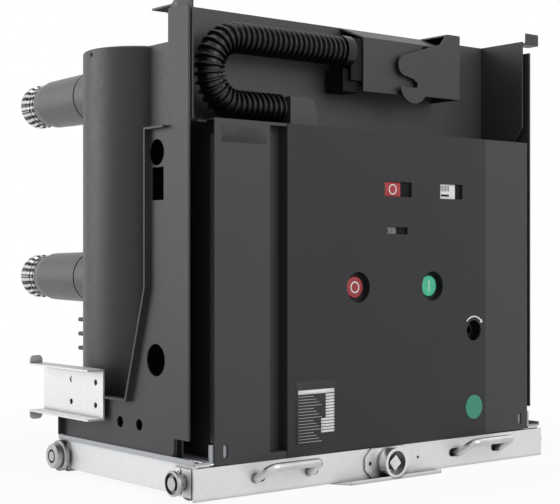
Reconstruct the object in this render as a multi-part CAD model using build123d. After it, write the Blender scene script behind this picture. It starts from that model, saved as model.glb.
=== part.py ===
"""Withdrawable medium-voltage vacuum circuit breaker on its roller truck.

X runs along the front, Y from the front towards the poles, Z up. The sizes below
take Y from the face of the truck's front plate and Z from the floor. The written
pieces are moved along Y, so that the origin is the middle of the footprint.
Left is the side of negative X, seen from the front.
"""
import os
from math import pi

from build123d import *

os.makedirs("parts", exist_ok=True)

# ---------------------------------------------------------------- driving sizes
SEAT = 0.3               # gap left between two pieces that sit together
RUN = 0.06               # radial clearance of a shaft in its bearing
SEAM_TURN = 40.0         # turned pieces start their round faces here, in degrees

# truck
GROUND_GAP = 2.0         # floor to the underside of the front plate
PLATE_END = 5.0          # front plate past each side frame
TRUCK_LENGTH = 335.0     # front plate's face to the rear of the side frames
PLATE_HEIGHT = 41.0      # front plate
PLATE_SHEET = 2.5
PLATE_FLANGE = 12.0
DECK_Z = 47.0            # underside of the deck tray
DECK_SHEET = 2.5
DECK_LIP = 3.5           # side lips of the deck tray
DECK_FRONT_LIP = 21.0    # front lip of the deck tray
DECK_FRONT_SET_IN = 22.0 # front lip in from the side plates
DECK_FRONT_END = 70.0    # the lip is left off between its two ends
SIDE_HALF = 321.0        # outer face of the side frames
SIDE_SHEET = 3.0
SIDE_FLANGE = 19.0
SIDE_BOTTOM = 4.5        # underside of the side frames above the front plate's
SCREW_HOLE_ROOM = 3.0    # front plate's hole past the racking screw
PLATE_HOLE_X = 61.0      # small hole beside the boss
PLATE_HOLE_RADIUS = 2.0

# rollers
TREAD_RADIUS = 23.5
TREAD_WIDTH = 17.0
NECK_RADIUS = 10.0
GUIDE_RADIUS = 21.5      # guide flange of the rear rollers
HUB_RADIUS = 17.0
CAP_RADIUS = 16.0        # end disc of the front rollers
HUB_REACH = 20.0         # outer faces of the hubs past the side frames
TREAD_EDGE = 1.2
CAP_THICKNESS = 5.0
HUB_LENGTH = 10.0
CAP_GROOVE_RADIUS = 13.6
CAP_GROOVE_WIDTH = 5.2
HUB_GROOVE_RADIUS = 9.6
HUB_GROOVE_WIDTH = 2.6
FACE_GROOVE_DEPTH = 3.4
FRONT_ROLLER_Y = 27.0
WHEELBASE = 300.0
BEARING_SHEET = 2.5
BEARING_SIZE = 36.0
BEARING_END = 6.0        # web and rear bearing plates past the deck
TREAD_GAP = 1.0          # tread in from the side frame's web
TREAD_SLOT_IN = 2.0      # slots over the treads, half as long as a tread less this
NECK_ROOM = 0.5          # side frame's holes round the necks
CAP_CHAMFER = 1.0
HUB_CHAMFER = 1.5
GUIDE_CHAMFER = 1.0
GUIDE_GAP = 0.5          # guide flange off its bearing plate

# handles
ROD_RADIUS = 5.5
HANDLE_INNER = 140.5     # inner leg of each handle
HANDLE_SPAN = 89.5
HANDLE_REACH = 30.0      # grip axis in front of the front plate
HANDLE_RISE = 16.0
HANDLE_Z = 23.0
HANDLE_TRAVEL = 11.0
HANDLE_BEND = 11.0
HANDLE_KNEE = 4.0        # start of the rod's rise in front of the front plate
HANDLE_KNEE_BEND = 7.0
HANDLE_LEAN = 4.0        # grip shorter than the span, at each end
SLIDE_BAR_GAP = 4.0      # slide bar behind the front plate
SLIDE_BAR_SHEET = 4.0
SLIDE_BAR_END = 6.0      # slide bar past the rods
SLIDE_BAR_HALF = 8.0

# racking screw
SCREW_Z = 22.7
SCREW_RADIUS = 9.0
SQUARE_SIDE = 15.5
SQUARE_TURN = 38.0       # square of the screw at rest, in degrees
SQUARE_SET_BACK = 3.0    # square behind the boss's rim
BOSS_RADIUS = 19.2
BOSS_LIP_RADIUS = 20.6
BOSS_LIP_LENGTH = 5.0
BOSS_BORE = 16.4
BOSS_REACH = 21.0
LUG_HALF = 42.5
LUG_HEIGHT_HALF = 20.0
LUG_SHEET = 3.0
LUG_CORNER = 12.0
LUG_HOLE_RADIUS = 2.7
LUG_HOLE_SET_IN = 9.0
SQUARE_CORNER = 1.5
COLLAR_PROUD = 5.0
COLLAR_LENGTH = 6.0

# tongue tray under the truck
TONGUE_REACH = 23.0
TONGUE_HALF = 84.5
TONGUE_WIDE_HALF = 107.0
TONGUE_LENGTH = 60.0
TONGUE_SHEET = 1.2
TONGUE_LIP = 5.2
TONGUE_STEP_Y = 16.0     # the tray is at its full width from here back
TONGUE_BOSS_ROOM = 1.0

# black side plates
BODY_STEP = 1.0          # outer faces of the side plates past the side frames
BODY_SHEET = 3.0
STRIP_FRONT = 17.6
STRIP_REAR = 62.0
STRIP_TOP = 620.5
SHOULDER_Z = 472.5
SHOULDER_REAR = 107.0
SLANT_TOP = 265.0
SLANT_REAR = 153.0
STEP_Z = 117.5
STEP_REAR = 328.0
BODY_LIP = 8.0
NOTCH_HEIGHT = 26.0      # notch behind the cover's lower corner
NOTCH_REAR = 49.0
NOTCH_CORNER = 12.0
LIP_RAIL_GAP = 2.0       # lip short of the rail's front end
LIP_UNDER_RAIL = 3.0     # rear lip short of the rail's underside
LIP_OVER_DECK = 1.0      # rear lip over the deck's side lip

# holes of the side plates
SIDE_HOLE_Y = 88.0
SIDE_HOLE_Z = 439.5
SIDE_HOLE_RADIUS = 17.0
SIDE_SLOT_Y = 85.5
SIDE_SLOT_Z = 399.25
SIDE_SLOT_WIDTH = 27.0
SIDE_SLOT_HEIGHT = 42.5
LOW_HOLE_Y = 90.0
LOW_HOLE_Z = 172.5
LOW_HOLE_RADIUS = 21.0
FOOT_HOLE_Y = 129.0
FOOT_HOLE_SPACING = 46.5
FOOT_HOLE_Z = 85.5
FOOT_HOLE_RADIUS = 7.6

# mechanism box
BRACKET_SET_IN = 10.0    # bracket plates in from the side plates
BRACKET_FRONT = 23.6
BRACKET_LOW_FRONT = 45.0 # front edge below the top shelf
BRACKET_EDGE_RISE = 27.0 # step of the bracket plates over the cover's top
BRACKET_STRIP = 6.0      # left bracket plate short of the side plate's strip
TAB_LENGTH = 32.0
TAB_DEPTH = 21.0
TAB_RISE = 15.0
TAB_LEG = 28.0
TAB_DROP = 2.0           # tab under the back panel's top
TAB_FORWARD = 3.0        # tab in front of the bracket plate
BACK_Y = 108.5           # front face of the back panel
BACK_SHEET = 2.5
BACK_SET_IN = 27.0       # left edge of the back panel in from the bracket plate
BACK_RISE = 159.0        # back panel's top over the cover's
BACK_FLANGE = 44.0
HOUSING_SET_IN = 5.0     # housing in from the back panel's edge
HOUSING_FRONT = 24.0
SHELF_EAR_FRONT = 14.0
SHELF_SHEET = 2.5
SHELF_COVER_GAP = 2.0    # ears of the shelf off the cover's ends
SHELF_LEFT_END = 5.0     # left end of the shelf behind its ear
STEM_HOLE_DEPTH = 16.0

# front cover and control panel
COVER_SET_IN = 18.0      # cover in from the bracket plates
COVER_TOP = 479.0
COVER_BOTTOM = 45.0
COVER_SHEET = 2.0
COVER_RETURN = 10.0
COVER_RETURN_GAP = 20.0  # returns left off below the top
COVER_SLOT_IN = 17.0     # upright slots in from the cover's ends
COVER_SLOT_LENGTH = 18.0
COVER_SLOT_WIDTH = 7.0
COVER_SLOT_RISE = 11.5
GROOVE_LEFT = -201.0
GROOVE_RIGHT = -177.5
GROOVE_DEPTH = 18.0
GROOVE_BEND = 8.0
GROOVE_RISE = 8.0        # groove over the cover's lower edge
GROOVE_DROP = 4.0        # groove under the cover's top
GROOVE_END = 2.0         # lower end wall of the groove
RETURN_LIP_GAP = 2.0     # returns over the deck's front lip
PANEL_RIGHT = 200.0
PANEL_SHEET = 1.0

# controls on the panel, as X and Z of their centres
BUTTON_RADIUS = 15.0
BUTTON_CUP = 21.0
BUTTON_SET_BACK = 6.5
BUTTON_Z = 264.0
O_BUTTON_X = -53.0
I_BUTTON_X = 89.5
CRANK_X = 175.0
CRANK_Z = 198.0
CRANK_RADIUS = 15.0
SHAFT_RADIUS = 9.0
SHAFT_BORE = 5.0
SHAFT_LENGTH = 14.0
CUP_WALL = 1.5
CUP_DEPTH = 6.0          # rear of the cup behind the button's face
CUP_FLOOR = 2.0
BUTTON_EDGE = 1.5
BUTTON_GAP = 5.0         # button's head in front of the housing
STEM_RADIUS = 4.0
STEM_SET_IN = 10.0       # stem inside the housing
SHAFT_FLOOR = 4.0
FLAG_X = 22.0
FLAG_WIDTH = 52.0
SPRING_X = 128.0
SPRING_WIDTH = 46.0
WINDOW_Z = 399.5
WINDOW_HEIGHT = 21.0
COUNTER_X = 20.5
COUNTER_Z = 342.0
COUNTER_WIDTH = 39.0
COUNTER_HEIGHT = 10.0
WINDOW_MARGIN = 3.0      # plates behind the windows past their openings
WINDOW_SHEET = 2.0
STALK_HALF = 5.0

# poles
PHASE_PITCH = 210.0
POLE_Y = 295.0
POLE_RADIUS = 85.0
POLE_TOP = 600.5
POLE_BOTTOM = 100.0
WEB_HALF = 35.0
PAD_HALF = 24.0          # rear pad between the arms
PAD_END = 60.0
PAD_PROUD = 2.0
POLE_EDGE = 4.0
RIB_COUNT = 3
RIB_PITCH = 21.0
RIB_DROP = 62.0          # first rear rib below the lower arm
RIB_HALF = 30.0
RIB_THICKNESS = 5.0
RIB_PROUD = 5.0
CONTACT_PITCH = 275.0
LOWER_ARM_Z = 275.0
ARM_ROOT_RADIUS = 39.0
ARM_NECK_RADIUS = 37.0
ARM_END_RADIUS = 32.5
ARM_JOINT_Y = 425.0
ARM_SHOULDER_Y = 541.0
ARM_END_Y = 562.0
ARM_WALL = 3.0
ARM_ROOT_DEPTH = 14.0    # root's start inside the pole's radius
ARM_GROOVE_HALF = 1.5    # half the width of the joint's groove
ARM_GROOVE_DEPTH = 2.0

# tulip contacts
TULIP_TIP_Y = 606.0
TULIP_RIM_RADIUS = 34.5
TULIP_GRIP_RADIUS = 24.5
FINGER_COUNT = 20
FINGER_GAP = 1.1
BAND_HALF = 1.6          # half the width of a garter band
BAND_PROUD = 0.9
TULIP_BASE = 8.0
TULIP_BASE_GAP = 0.5     # base inside the sleeve
TULIP_WAIST_IN = 3.0     # waist under the rim's radius
TULIP_WAIST_FRONT = 3.0  # waist's start past the sleeve's end
TULIP_WAIST_REAR = 24.0  # sizes down to TULIP_GRIP_REAR are measured from the tips
TULIP_RIM_FRONT = 19.0
TULIP_RIM_REAR = 8.0
TULIP_NOSE_REAR = 3.5
TULIP_GRIP_FRONT = 18.0
TULIP_GRIP_RAMP = 21.0
TULIP_GRIP_REAR = 8.0
TULIP_NOSE_IN = 1.5      # rounding of the tips, in from the rim
TULIP_TIP_IN = 4.5
TULIP_MOUTH = 5.0        # mouth past the grip's radius
TULIP_BORE_ALLOWANCE = 1.0
FRONT_BAND = 6.0         # front band past the sleeve's end
REAR_BAND = 28.0         # rear band from the tips

# shutter rails
RAIL_STAND_OFF = 8.0     # outer face of the web past the side plates
RAIL_SHEET = 2.5
RAIL_FRONT = 206.0
RAIL_REAR = 368.0
RAIL_BOTTOM = 84.5
RAIL_HEIGHT = 69.0
RAIL_FLANGE = 24.0
RAIL_TAB = 11.0
RAIL_TAB_LENGTH = 20.0
RAIL_TAB_CORNER = 6.0
RAIL_HOLE_SET_BACK = 52.0
RAIL_HOLE_SPACING = 65.0
RAIL_HOLE_RISE = 31.0
RAIL_HOLE_RADIUS = 4.0
STAND_OFF_LENGTH = 40.0
STAND_OFF_RISE = 8.0     # stand-off over the rail's underside
STAND_OFF_DROP = 6.0     # stand-off under the side plate's step

# control conduit
CONDUIT_RADIUS = 21.0
CONDUIT_Y = 70.0
CONDUIT_DROP = 42.0      # upper run's middle below the back panel's top
CONDUIT_BEND = 45.0
CONDUIT_TURN_X = -207.0
CONDUIT_FITTING_X = -26.0
FITTING_LENGTH = 15.0
FITTING_PROUD = 1.5
FITTING_RIM = 4.0        # shallow recess inside the conduit's radius
FITTING_RECESS = 1.0
ENTRY_LEFT = -133.0
ENTRY_RIGHT = -86.0
ENTRY_FRONT = 47.0
ENTRY_RISE = 16.5        # entry box over the lower run's middle
ENTRY_CORNER = 20.0
PLUG_HALF_HEIGHT = 20.0
PLUG_DROP = 40.0
PLUG_BOX_LENGTH = 10.0
PLUG_BOX_DROP = 56.0
PLUG_END_IN = 10.0       # plug's end in from the parking plate's
PLUG_BACK_GAP = 2.0
PLUG_BOX_GAP = 3.0       # box under the conduit
PLUG_BOX_BACK = 20.0     # box under the plug's body
PLUG_BOX_SET_IN = 6.0

# hook bracket
HOOK_Y = 50.0
HOOK_SHEET = 2.5
PARK_Y = 58.0            # parking plate for the stowed plug
PARK_LEFT = 10.0
PARK_RIGHT = 128.0
PARK_DROP = 19.2         # parking plate's top below the back panel's
PARK_HEIGHT = 77.3
HOOK_RIGHT = 199.0
HOOK_STEP = 27.0         # flange of the hook plate, from its right end
HOOK_SLOPE = 13.4
SHOULDER_DROP = 16.2     # drops of the hook plate are from the back panel's top
HOOK_DROP = 96.2
NOSE_X = 87.5
NOSE_DROP = 53.5
NOSE_RADIUS = 15.8
THROAT_X = 106.0
THROAT_DROP = 80.2
THROAT_RADIUS = 4.6
HOOK_RADIUS = 28.0
HOOK_CENTRE_IN = 3.0     # hook's centre left of the throat
HOOK_CUT_X = 12.5        # cut above the hook, its middle from the nose
HOOK_CUT_RISE = 5.5
HOOK_CUT_WIDTH = 66.0
HOOK_CUT_HEIGHT = 62.0
HOOK_TIP_REACH = 46.0    # wedge over the hook's tip, left of the throat
HOOK_WEDGE_LOW = 4.8
HOOK_WEDGE_TIP = 17.2
HOOK_WEDGE_THROAT = 5.2
MOUTH_IN = 2.0
MOUTH_RISE = 7.2
HEEL_OUT = 6.0
ROOF_OVERLAP = 2.0       # roof past the step of the hook plate
PARK_WEB_RISE = 4.0      # web between the two plates, in from the parking plate
PARK_WEB_DROP = 10.8

# ------------------------------------------------------------- derived positions
truck_half = SIDE_HALF + PLATE_END
hub_face_half = SIDE_HALF + HUB_REACH
body_half = SIDE_HALF + BODY_STEP
rail_web_half = body_half + RAIL_STAND_OFF
deck_front_half = body_half - DECK_FRONT_SET_IN
inner_half = body_half - BRACKET_SET_IN
back_left = inner_half - BACK_SET_IN
housing_half = back_left - HOUSING_SET_IN
cover_half = inner_half - COVER_SET_IN
axle_z = TREAD_RADIUS
plate_top = GROUND_GAP + PLATE_HEIGHT
deck_top = DECK_Z + DECK_SHEET
side_bottom = GROUND_GAP + SIDE_BOTTOM
rear_roller_y = FRONT_ROLLER_Y + WHEELBASE
upper_arm_z = LOWER_ARM_Z + CONTACT_PITCH
back_rear = BACK_Y + BACK_SHEET
back_top = COVER_TOP + BACK_RISE
bracket_edge_z = COVER_TOP + BRACKET_EDGE_RISE
conduit_top_z = back_top - CONDUIT_DROP
conduit_low_z = conduit_top_z - 2 * CONDUIT_BEND
entry_top = conduit_low_z + ENTRY_RISE
park_top = back_top - PARK_DROP
park_bottom = park_top - PARK_HEIGHT
shoulder_z = back_top - SHOULDER_DROP
hook_bottom = back_top - HOOK_DROP
nose_z = back_top - NOSE_DROP
throat_z = back_top - THROAT_DROP
plan_centre_y = (TULIP_TIP_Y - HANDLE_REACH - ROD_RADIUS) / 2


# ------------------------------------------------------------------- shape tools
def block(x0, x1, y0, y1, z0, z1):
    """A box between two corners."""
    size = (abs(x1 - x0), abs(y1 - y0), abs(z1 - z0))
    return Pos((x0 + x1) / 2, (y0 + y1) / 2, (z0 + z1) / 2) * Box(*size)


def bar_x(radius, x0, x1, y, z):
    """A round bar along X."""
    return Pos((x0 + x1) / 2, y, z) * Rot(0, 90, 0) * Cylinder(radius, abs(x1 - x0))


def bar_y(radius, y0, y1, x, z):
    """A round bar along Y."""
    return Pos(x, (y0 + y1) / 2, z) * Rot(90, 0, 0) * Cylinder(radius, abs(y1 - y0))


def outline(points):
    """A flat face inside a closed outline."""
    return make_face(Polyline(*points, close=True))


def side_sheet(face, x0, x1):
    """A face drawn in Y and Z, made solid from x0 to x1."""
    return extrude(Plane.YZ.offset(x0) * face, amount=x1 - x0)


def front_sheet(face, y0, y1):
    """A face drawn in X and Z, made solid from y0 back to y1."""
    return extrude(Plane.XZ.offset(-y1) * face, amount=y1 - y0)


def flat_sheet(face, z0, z1):
    """A face drawn in X and Y, made solid from z0 up to z1."""
    return extrude(Plane.XY.offset(z0) * face, amount=z1 - z0)


def turned_x(points, y, z):
    """A profile of X and radius turned about an axis along X."""
    return Pos(0, y, z) * Rot(SEAM_TURN, 0, 0) * revolve(outline(points), Axis.X)


def other_side(part):
    """The mirror image of a left-hand piece."""
    return mirror(part, about=Plane.YZ)


def save(name, part):
    """Write one piece, moved so that the origin is the middle of the footprint."""
    export_step(Pos(0, -plan_centre_y, 0) * part, f"parts/{name}.step")


# ------------------------------------------------------------------------- truck
def truck_front_plate():
    """Folded front plate with slots for the handles and a hole for the screw."""
    plate = block(-truck_half, truck_half, 0, PLATE_SHEET, GROUND_GAP, plate_top)
    inside = SIDE_HALF - SIDE_SHEET - SIDE_FLANGE - SEAT
    reach = PLATE_SHEET + PLATE_FLANGE
    plate += block(-inside, inside, 0, reach, GROUND_GAP, GROUND_GAP + PLATE_SHEET)
    plate += block(-inside, inside, 0, reach, plate_top - PLATE_SHEET, plate_top)
    slot_length = HANDLE_TRAVEL + 2 * (ROD_RADIUS + SEAT)
    for side in (-1, 1):
        for leg in (HANDLE_INNER, HANDLE_INNER + HANDLE_SPAN):
            slot = SlotOverall(slot_length, 2 * (ROD_RADIUS + SEAT))
            slot_x = side * (leg - HANDLE_TRAVEL / 2)
            plate -= front_sheet(Pos(slot_x, HANDLE_Z) * slot, -1, PLATE_SHEET + 1)
    plate -= bar_y(SCREW_RADIUS + SCREW_HOLE_ROOM, -1, PLATE_SHEET + 1, 0, SCREW_Z)
    plate -= bar_y(PLATE_HOLE_RADIUS, -1, PLATE_SHEET + 1, PLATE_HOLE_X, SCREW_Z)
    return plate


def truck_side_frame():
    """Left side frame: a channel open to the inside, slotted over the treads."""
    web_inner = -SIDE_HALF + SIDE_SHEET
    inner = web_inner + SIDE_FLANGE
    rear = TRUCK_LENGTH + BEARING_END
    frame = block(-SIDE_HALF, web_inner, PLATE_SHEET, rear, side_bottom, DECK_Z)
    for z in (side_bottom, DECK_Z - SIDE_SHEET):
        frame += block(web_inner, inner, PLATE_SHEET, TRUCK_LENGTH, z, z + SIDE_SHEET)
    for y in (FRONT_ROLLER_Y, rear_roller_y):
        frame -= tread_slot(y, web_inner, side_bottom - 1, DECK_Z + 1)
        frame -= bar_x(NECK_RADIUS + NECK_ROOM, -SIDE_HALF - 1, web_inner + 1, y, axle_z)
    return frame


def tread_slot(y, outer, z0, z1):
    """Room for a tread where it rises through a sheet."""
    half = TREAD_RADIUS - TREAD_SLOT_IN
    return block(outer, outer + SIDE_FLANGE + 1, y - half, y + half, z0, z1)


def truck_cross_member():
    """Rear channel that ties the side frames and carries the screw's end."""
    reach = SIDE_HALF - SIDE_SHEET - SIDE_FLANGE
    rear = TRUCK_LENGTH
    member = block(-reach, reach, rear - PLATE_SHEET, rear, side_bottom, DECK_Z)
    for z in (side_bottom, DECK_Z - PLATE_SHEET):
        member += block(-reach, reach, rear - PLATE_FLANGE, rear, z, z + PLATE_SHEET)
    member -= bar_y(SCREW_RADIUS + SEAT, rear - 5, rear + 1, 0, SCREW_Z)
    return member


def truck_tongue_tray():
    """Thin tray under the front plate, lipped at its front edge."""
    points = [(-TONGUE_HALF, -TONGUE_REACH), (TONGUE_HALF, -TONGUE_REACH)]
    points += [(TONGUE_WIDE_HALF, TONGUE_STEP_Y), (TONGUE_WIDE_HALF, TONGUE_LENGTH)]
    points += [(-TONGUE_WIDE_HALF, TONGUE_LENGTH), (-TONGUE_WIDE_HALF, TONGUE_STEP_Y)]
    bottom = GROUND_GAP - TONGUE_SHEET
    tray = flat_sheet(outline(points), bottom, GROUND_GAP)
    lip_rear = -TONGUE_REACH + TONGUE_SHEET
    tray += block(-TONGUE_HALF, TONGUE_HALF, -TONGUE_REACH, lip_rear, bottom, bottom + TONGUE_LIP)
    clear = BOSS_LIP_RADIUS + TONGUE_BOSS_ROOM
    tray -= bar_y(clear, -TONGUE_REACH - 1, lip_rear + 1, 0, SCREW_Z)
    return tray


def deck_tray():
    """Galvanised tray on the truck that the breaker's frame stands in."""
    outer = body_half + SEAT + PLATE_SHEET
    front = COVER_SHEET + SEAT
    tray = block(-outer, outer, front, TRUCK_LENGTH, DECK_Z, deck_top)
    for side in (-1, 1):
        inner = side * (outer - PLATE_SHEET)
        tray += block(side * outer, inner, front, TRUCK_LENGTH, DECK_Z, deck_top + DECK_LIP)
    half = deck_front_half
    lip_top = deck_top + DECK_FRONT_LIP
    for side in (-1, 1):
        inner = side * (half - DECK_FRONT_END)
        tray += block(side * half, inner, front, front + PLATE_SHEET, DECK_Z, lip_top)
    for y in (FRONT_ROLLER_Y, rear_roller_y):
        slot = tread_slot(y, -SIDE_HALF + SIDE_SHEET, DECK_Z - 1, deck_top + 1)
        tray -= slot
        tray -= other_side(slot)
    return tray


def bearing_plates():
    """Two square plates on the left side frame that the rollers' necks turn in."""
    plates = []
    outer = -SIDE_HALF - BEARING_SHEET
    half = BEARING_SIZE / 2
    for y in (FRONT_ROLLER_Y, rear_roller_y):
        rear = min(y + half, TRUCK_LENGTH + BEARING_END)
        plate = block(outer, -SIDE_HALF, y - half, rear, axle_z - half, axle_z + half)
        plate -= bar_x(NECK_RADIUS + RUN, outer - 1, -SIDE_HALF + 1, y, axle_z)
        plates.append(plate)
    return plates


def roller(hub_points, y, groove_radius, groove_width):
    """Left roller turned in one piece: hub, neck through the bearing, tread."""
    tread_outer = -SIDE_HALF + SIDE_SHEET + TREAD_GAP
    tread_inner = tread_outer + TREAD_WIDTH
    crown = TREAD_RADIUS - TREAD_EDGE
    points = [(-hub_face_half, 0)] + hub_points
    points += [(tread_outer, NECK_RADIUS), (tread_outer, crown)]
    points += [(tread_outer + TREAD_EDGE, TREAD_RADIUS), (tread_inner - TREAD_EDGE, TREAD_RADIUS)]
    points += [(tread_inner, crown), (tread_inner, 0)]
    part = turned_x(points, y, axle_z)
    face = -hub_face_half
    face_groove = bar_x(groove_radius, face - 1, face + FACE_GROOVE_DEPTH, y, axle_z)
    core = groove_radius - groove_width
    face_groove -= bar_x(core, face - 2, face + FACE_GROOVE_DEPTH + 1, y, axle_z)
    return part - face_groove


def front_roller():
    """Front roller with an end disc on a bare neck."""
    face = -hub_face_half
    disc = [(face, CAP_RADIUS - CAP_CHAMFER), (face + CAP_CHAMFER, CAP_RADIUS)]
    disc += [(face + CAP_THICKNESS, CAP_RADIUS), (face + CAP_THICKNESS, NECK_RADIUS)]
    return roller(disc, FRONT_ROLLER_Y, CAP_GROOVE_RADIUS, CAP_GROOVE_WIDTH)


def rear_roller():
    """Rear roller with a stepped hub and a guide flange."""
    face = -hub_face_half
    flange_inner = -SIDE_HALF - BEARING_SHEET - GUIDE_GAP
    step = face + HUB_LENGTH
    hub = [(face, HUB_RADIUS - HUB_CHAMFER), (face + HUB_CHAMFER, HUB_RADIUS), (step, HUB_RADIUS)]
    hub += [(step, GUIDE_RADIUS - GUIDE_CHAMFER), (step + GUIDE_CHAMFER, GUIDE_RADIUS)]
    hub += [(flange_inner, GUIDE_RADIUS), (flange_inner, NECK_RADIUS)]
    return roller(hub, rear_roller_y, HUB_GROOVE_RADIUS, HUB_GROOVE_WIDTH)


def pull_handle():
    """Left bent-rod handle with the slide bar that holds it behind the plate."""
    inner = -HANDLE_INNER
    outer = -HANDLE_INNER - HANDLE_SPAN
    bar_front = PLATE_SHEET + SLIDE_BAR_GAP
    bar_rear = bar_front + SLIDE_BAR_SHEET
    root = bar_front + SLIDE_BAR_SHEET / 2
    top = HANDLE_Z + HANDLE_RISE
    knee = -HANDLE_KNEE
    path = FilletPolyline(
        (outer, root, HANDLE_Z),
        (outer, knee, HANDLE_Z),
        (outer + HANDLE_LEAN, -HANDLE_REACH, top),
        (inner - HANDLE_LEAN, -HANDLE_REACH, top),
        (inner, knee, HANDLE_Z),
        (inner, root, HANDLE_Z),
        radius=[HANDLE_KNEE_BEND, HANDLE_BEND, HANDLE_BEND, HANDLE_KNEE_BEND],
    )
    section = Plane(origin=(outer, root, HANDLE_Z), z_dir=(0, -1, 0)) * Circle(ROD_RADIUS)
    rod = sweep(section, path=path)
    reach = ROD_RADIUS + SLIDE_BAR_END
    low, high = HANDLE_Z - SLIDE_BAR_HALF, HANDLE_Z + SLIDE_BAR_HALF
    return rod + block(outer - reach, inner + reach, bar_front, bar_rear, low, high)


def racking_boss():
    """Cup and eight-sided lug plate around the head of the racking screw."""
    knee = LUG_HALF - LUG_CORNER
    rise = LUG_HEIGHT_HALF - LUG_CORNER
    right = [(knee, -LUG_HEIGHT_HALF), (LUG_HALF, -rise), (LUG_HALF, rise), (knee, LUG_HEIGHT_HALF)]
    left = [(-x, z) for x, z in reversed(right)]
    boss = front_sheet(Pos(0, SCREW_Z) * outline(right + left), -LUG_SHEET, 0)
    boss += bar_y(BOSS_RADIUS, -BOSS_REACH, 0, 0, SCREW_Z)
    boss += bar_y(BOSS_LIP_RADIUS, -BOSS_REACH, BOSS_LIP_LENGTH - BOSS_REACH, 0, SCREW_Z)
    boss -= bar_y(BOSS_BORE, -BOSS_REACH - 1, -LUG_SHEET, 0, SCREW_Z)
    boss -= bar_y(SCREW_RADIUS + RUN, -BOSS_REACH, 1, 0, SCREW_Z)
    for side in (-1, 1):
        boss -= bar_y(LUG_HOLE_RADIUS, -LUG_SHEET - 1, 1, side * (LUG_HALF - LUG_HOLE_SET_IN), SCREW_Z)
    return boss


def racking_screw():
    """Square-headed screw that runs the depth of the truck."""
    head_front = SQUARE_SET_BACK - BOSS_REACH
    head_rear = -LUG_SHEET - SEAT
    square = RectangleRounded(SQUARE_SIDE, SQUARE_SIDE, SQUARE_CORNER)
    head = front_sheet(Pos(0, SCREW_Z) * Rot(0, 0, SQUARE_TURN) * square, head_front, head_rear)
    screw = head + bar_y(SCREW_RADIUS, head_rear, TRUCK_LENGTH, 0, SCREW_Z)
    collar_front = PLATE_SHEET + SEAT
    collar_rear = collar_front + COLLAR_LENGTH
    return screw + bar_y(SCREW_RADIUS + COLLAR_PROUD, collar_front, collar_rear, 0, SCREW_Z)


# ------------------------------------------------------------------- black frame
def side_plate():
    """Left side plate with an outward lip round its broad rear part."""
    notch_z = deck_top + NOTCH_HEIGHT
    points = [(STRIP_FRONT, notch_z), (STRIP_FRONT, STRIP_TOP), (STRIP_REAR, STRIP_TOP)]
    points += [(STRIP_REAR, SHOULDER_Z), (SHOULDER_REAR, SHOULDER_Z), (SHOULDER_REAR, SLANT_TOP)]
    points += [(SLANT_REAR, STEP_Z), (STEP_REAR, STEP_Z), (STEP_REAR, deck_top)]
    points += [(NOTCH_REAR, deck_top), (NOTCH_REAR, notch_z)]
    inner = -body_half + BODY_SHEET
    plate = side_sheet(outline(points), -body_half, inner)
    foot = (-body_half, NOTCH_REAR, deck_top)
    corner = plate.edges().filter_by(Axis.X).sort_by_distance(foot)[0]
    plate = fillet(corner, NOTCH_CORNER)
    plate += side_lip(inner)
    x0 = -body_half - 1
    x1 = inner + 1
    plate -= bar_x(SIDE_HOLE_RADIUS, x0, x1, SIDE_HOLE_Y, SIDE_HOLE_Z)
    slot = Pos(SIDE_SLOT_Y, SIDE_SLOT_Z) * Rectangle(SIDE_SLOT_WIDTH, SIDE_SLOT_HEIGHT)
    plate -= side_sheet(slot, x0, x1)
    plate -= bar_x(LOW_HOLE_RADIUS, x0, x1, LOW_HOLE_Y, LOW_HOLE_Z)
    for y in (FOOT_HOLE_Y, FOOT_HOLE_Y + FOOT_HOLE_SPACING):
        plate -= bar_x(FOOT_HOLE_RADIUS, x0, x1, y, FOOT_HOLE_Z)
    return plate


def side_lip(inner):
    """Lip of the left side plate, turned outwards along its upper rear edge."""
    t = BODY_SHEET
    route = [(STRIP_REAR, SHOULDER_Z), (SHOULDER_REAR, SHOULDER_Z), (SHOULDER_REAR, SLANT_TOP)]
    end = RAIL_FRONT - LIP_RAIL_GAP
    route += [(SLANT_REAR, STEP_Z), (end, STEP_Z)]
    back = [(end, STEP_Z - t), (SLANT_REAR - t, STEP_Z - t)]
    back += [(SHOULDER_REAR - t, SLANT_TOP), (SHOULDER_REAR - t, SHOULDER_Z - t)]
    back += [(STRIP_REAR, SHOULDER_Z - t)]
    outer = -body_half - BODY_LIP
    lip = side_sheet(outline(route + back), outer, inner)
    low = deck_top + DECK_LIP + LIP_OVER_DECK
    high = RAIL_BOTTOM - LIP_UNDER_RAIL
    return lip + block(outer, inner, STEP_REAR - t, STEP_REAR, low, high)


def bracket_tab(x):
    """Hanging tab at the top front corner of the right bracket plate."""
    t = BACK_SHEET
    top = back_top - TAB_DROP
    front = BRACKET_FRONT - TAB_FORWARD
    end = x + TAB_LENGTH
    tab = block(x - t, end, front, front + TAB_DEPTH, top - t, top)
    return tab + block(end - TAB_LEG, end, front, front + t, top - t, top + TAB_RISE)


def right_bracket_plate():
    """Plate between the back panel and the right side plate's front strip."""
    points = [(BRACKET_FRONT, bracket_edge_z), (BRACKET_FRONT, back_top), (BACK_Y, back_top)]
    points += [(BACK_Y, deck_top), (BRACKET_LOW_FRONT, deck_top), (BRACKET_LOW_FRONT, COVER_TOP)]
    plate = side_sheet(outline(points), inner_half - BACK_SHEET, inner_half)
    return plate + bracket_tab(inner_half)


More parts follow.
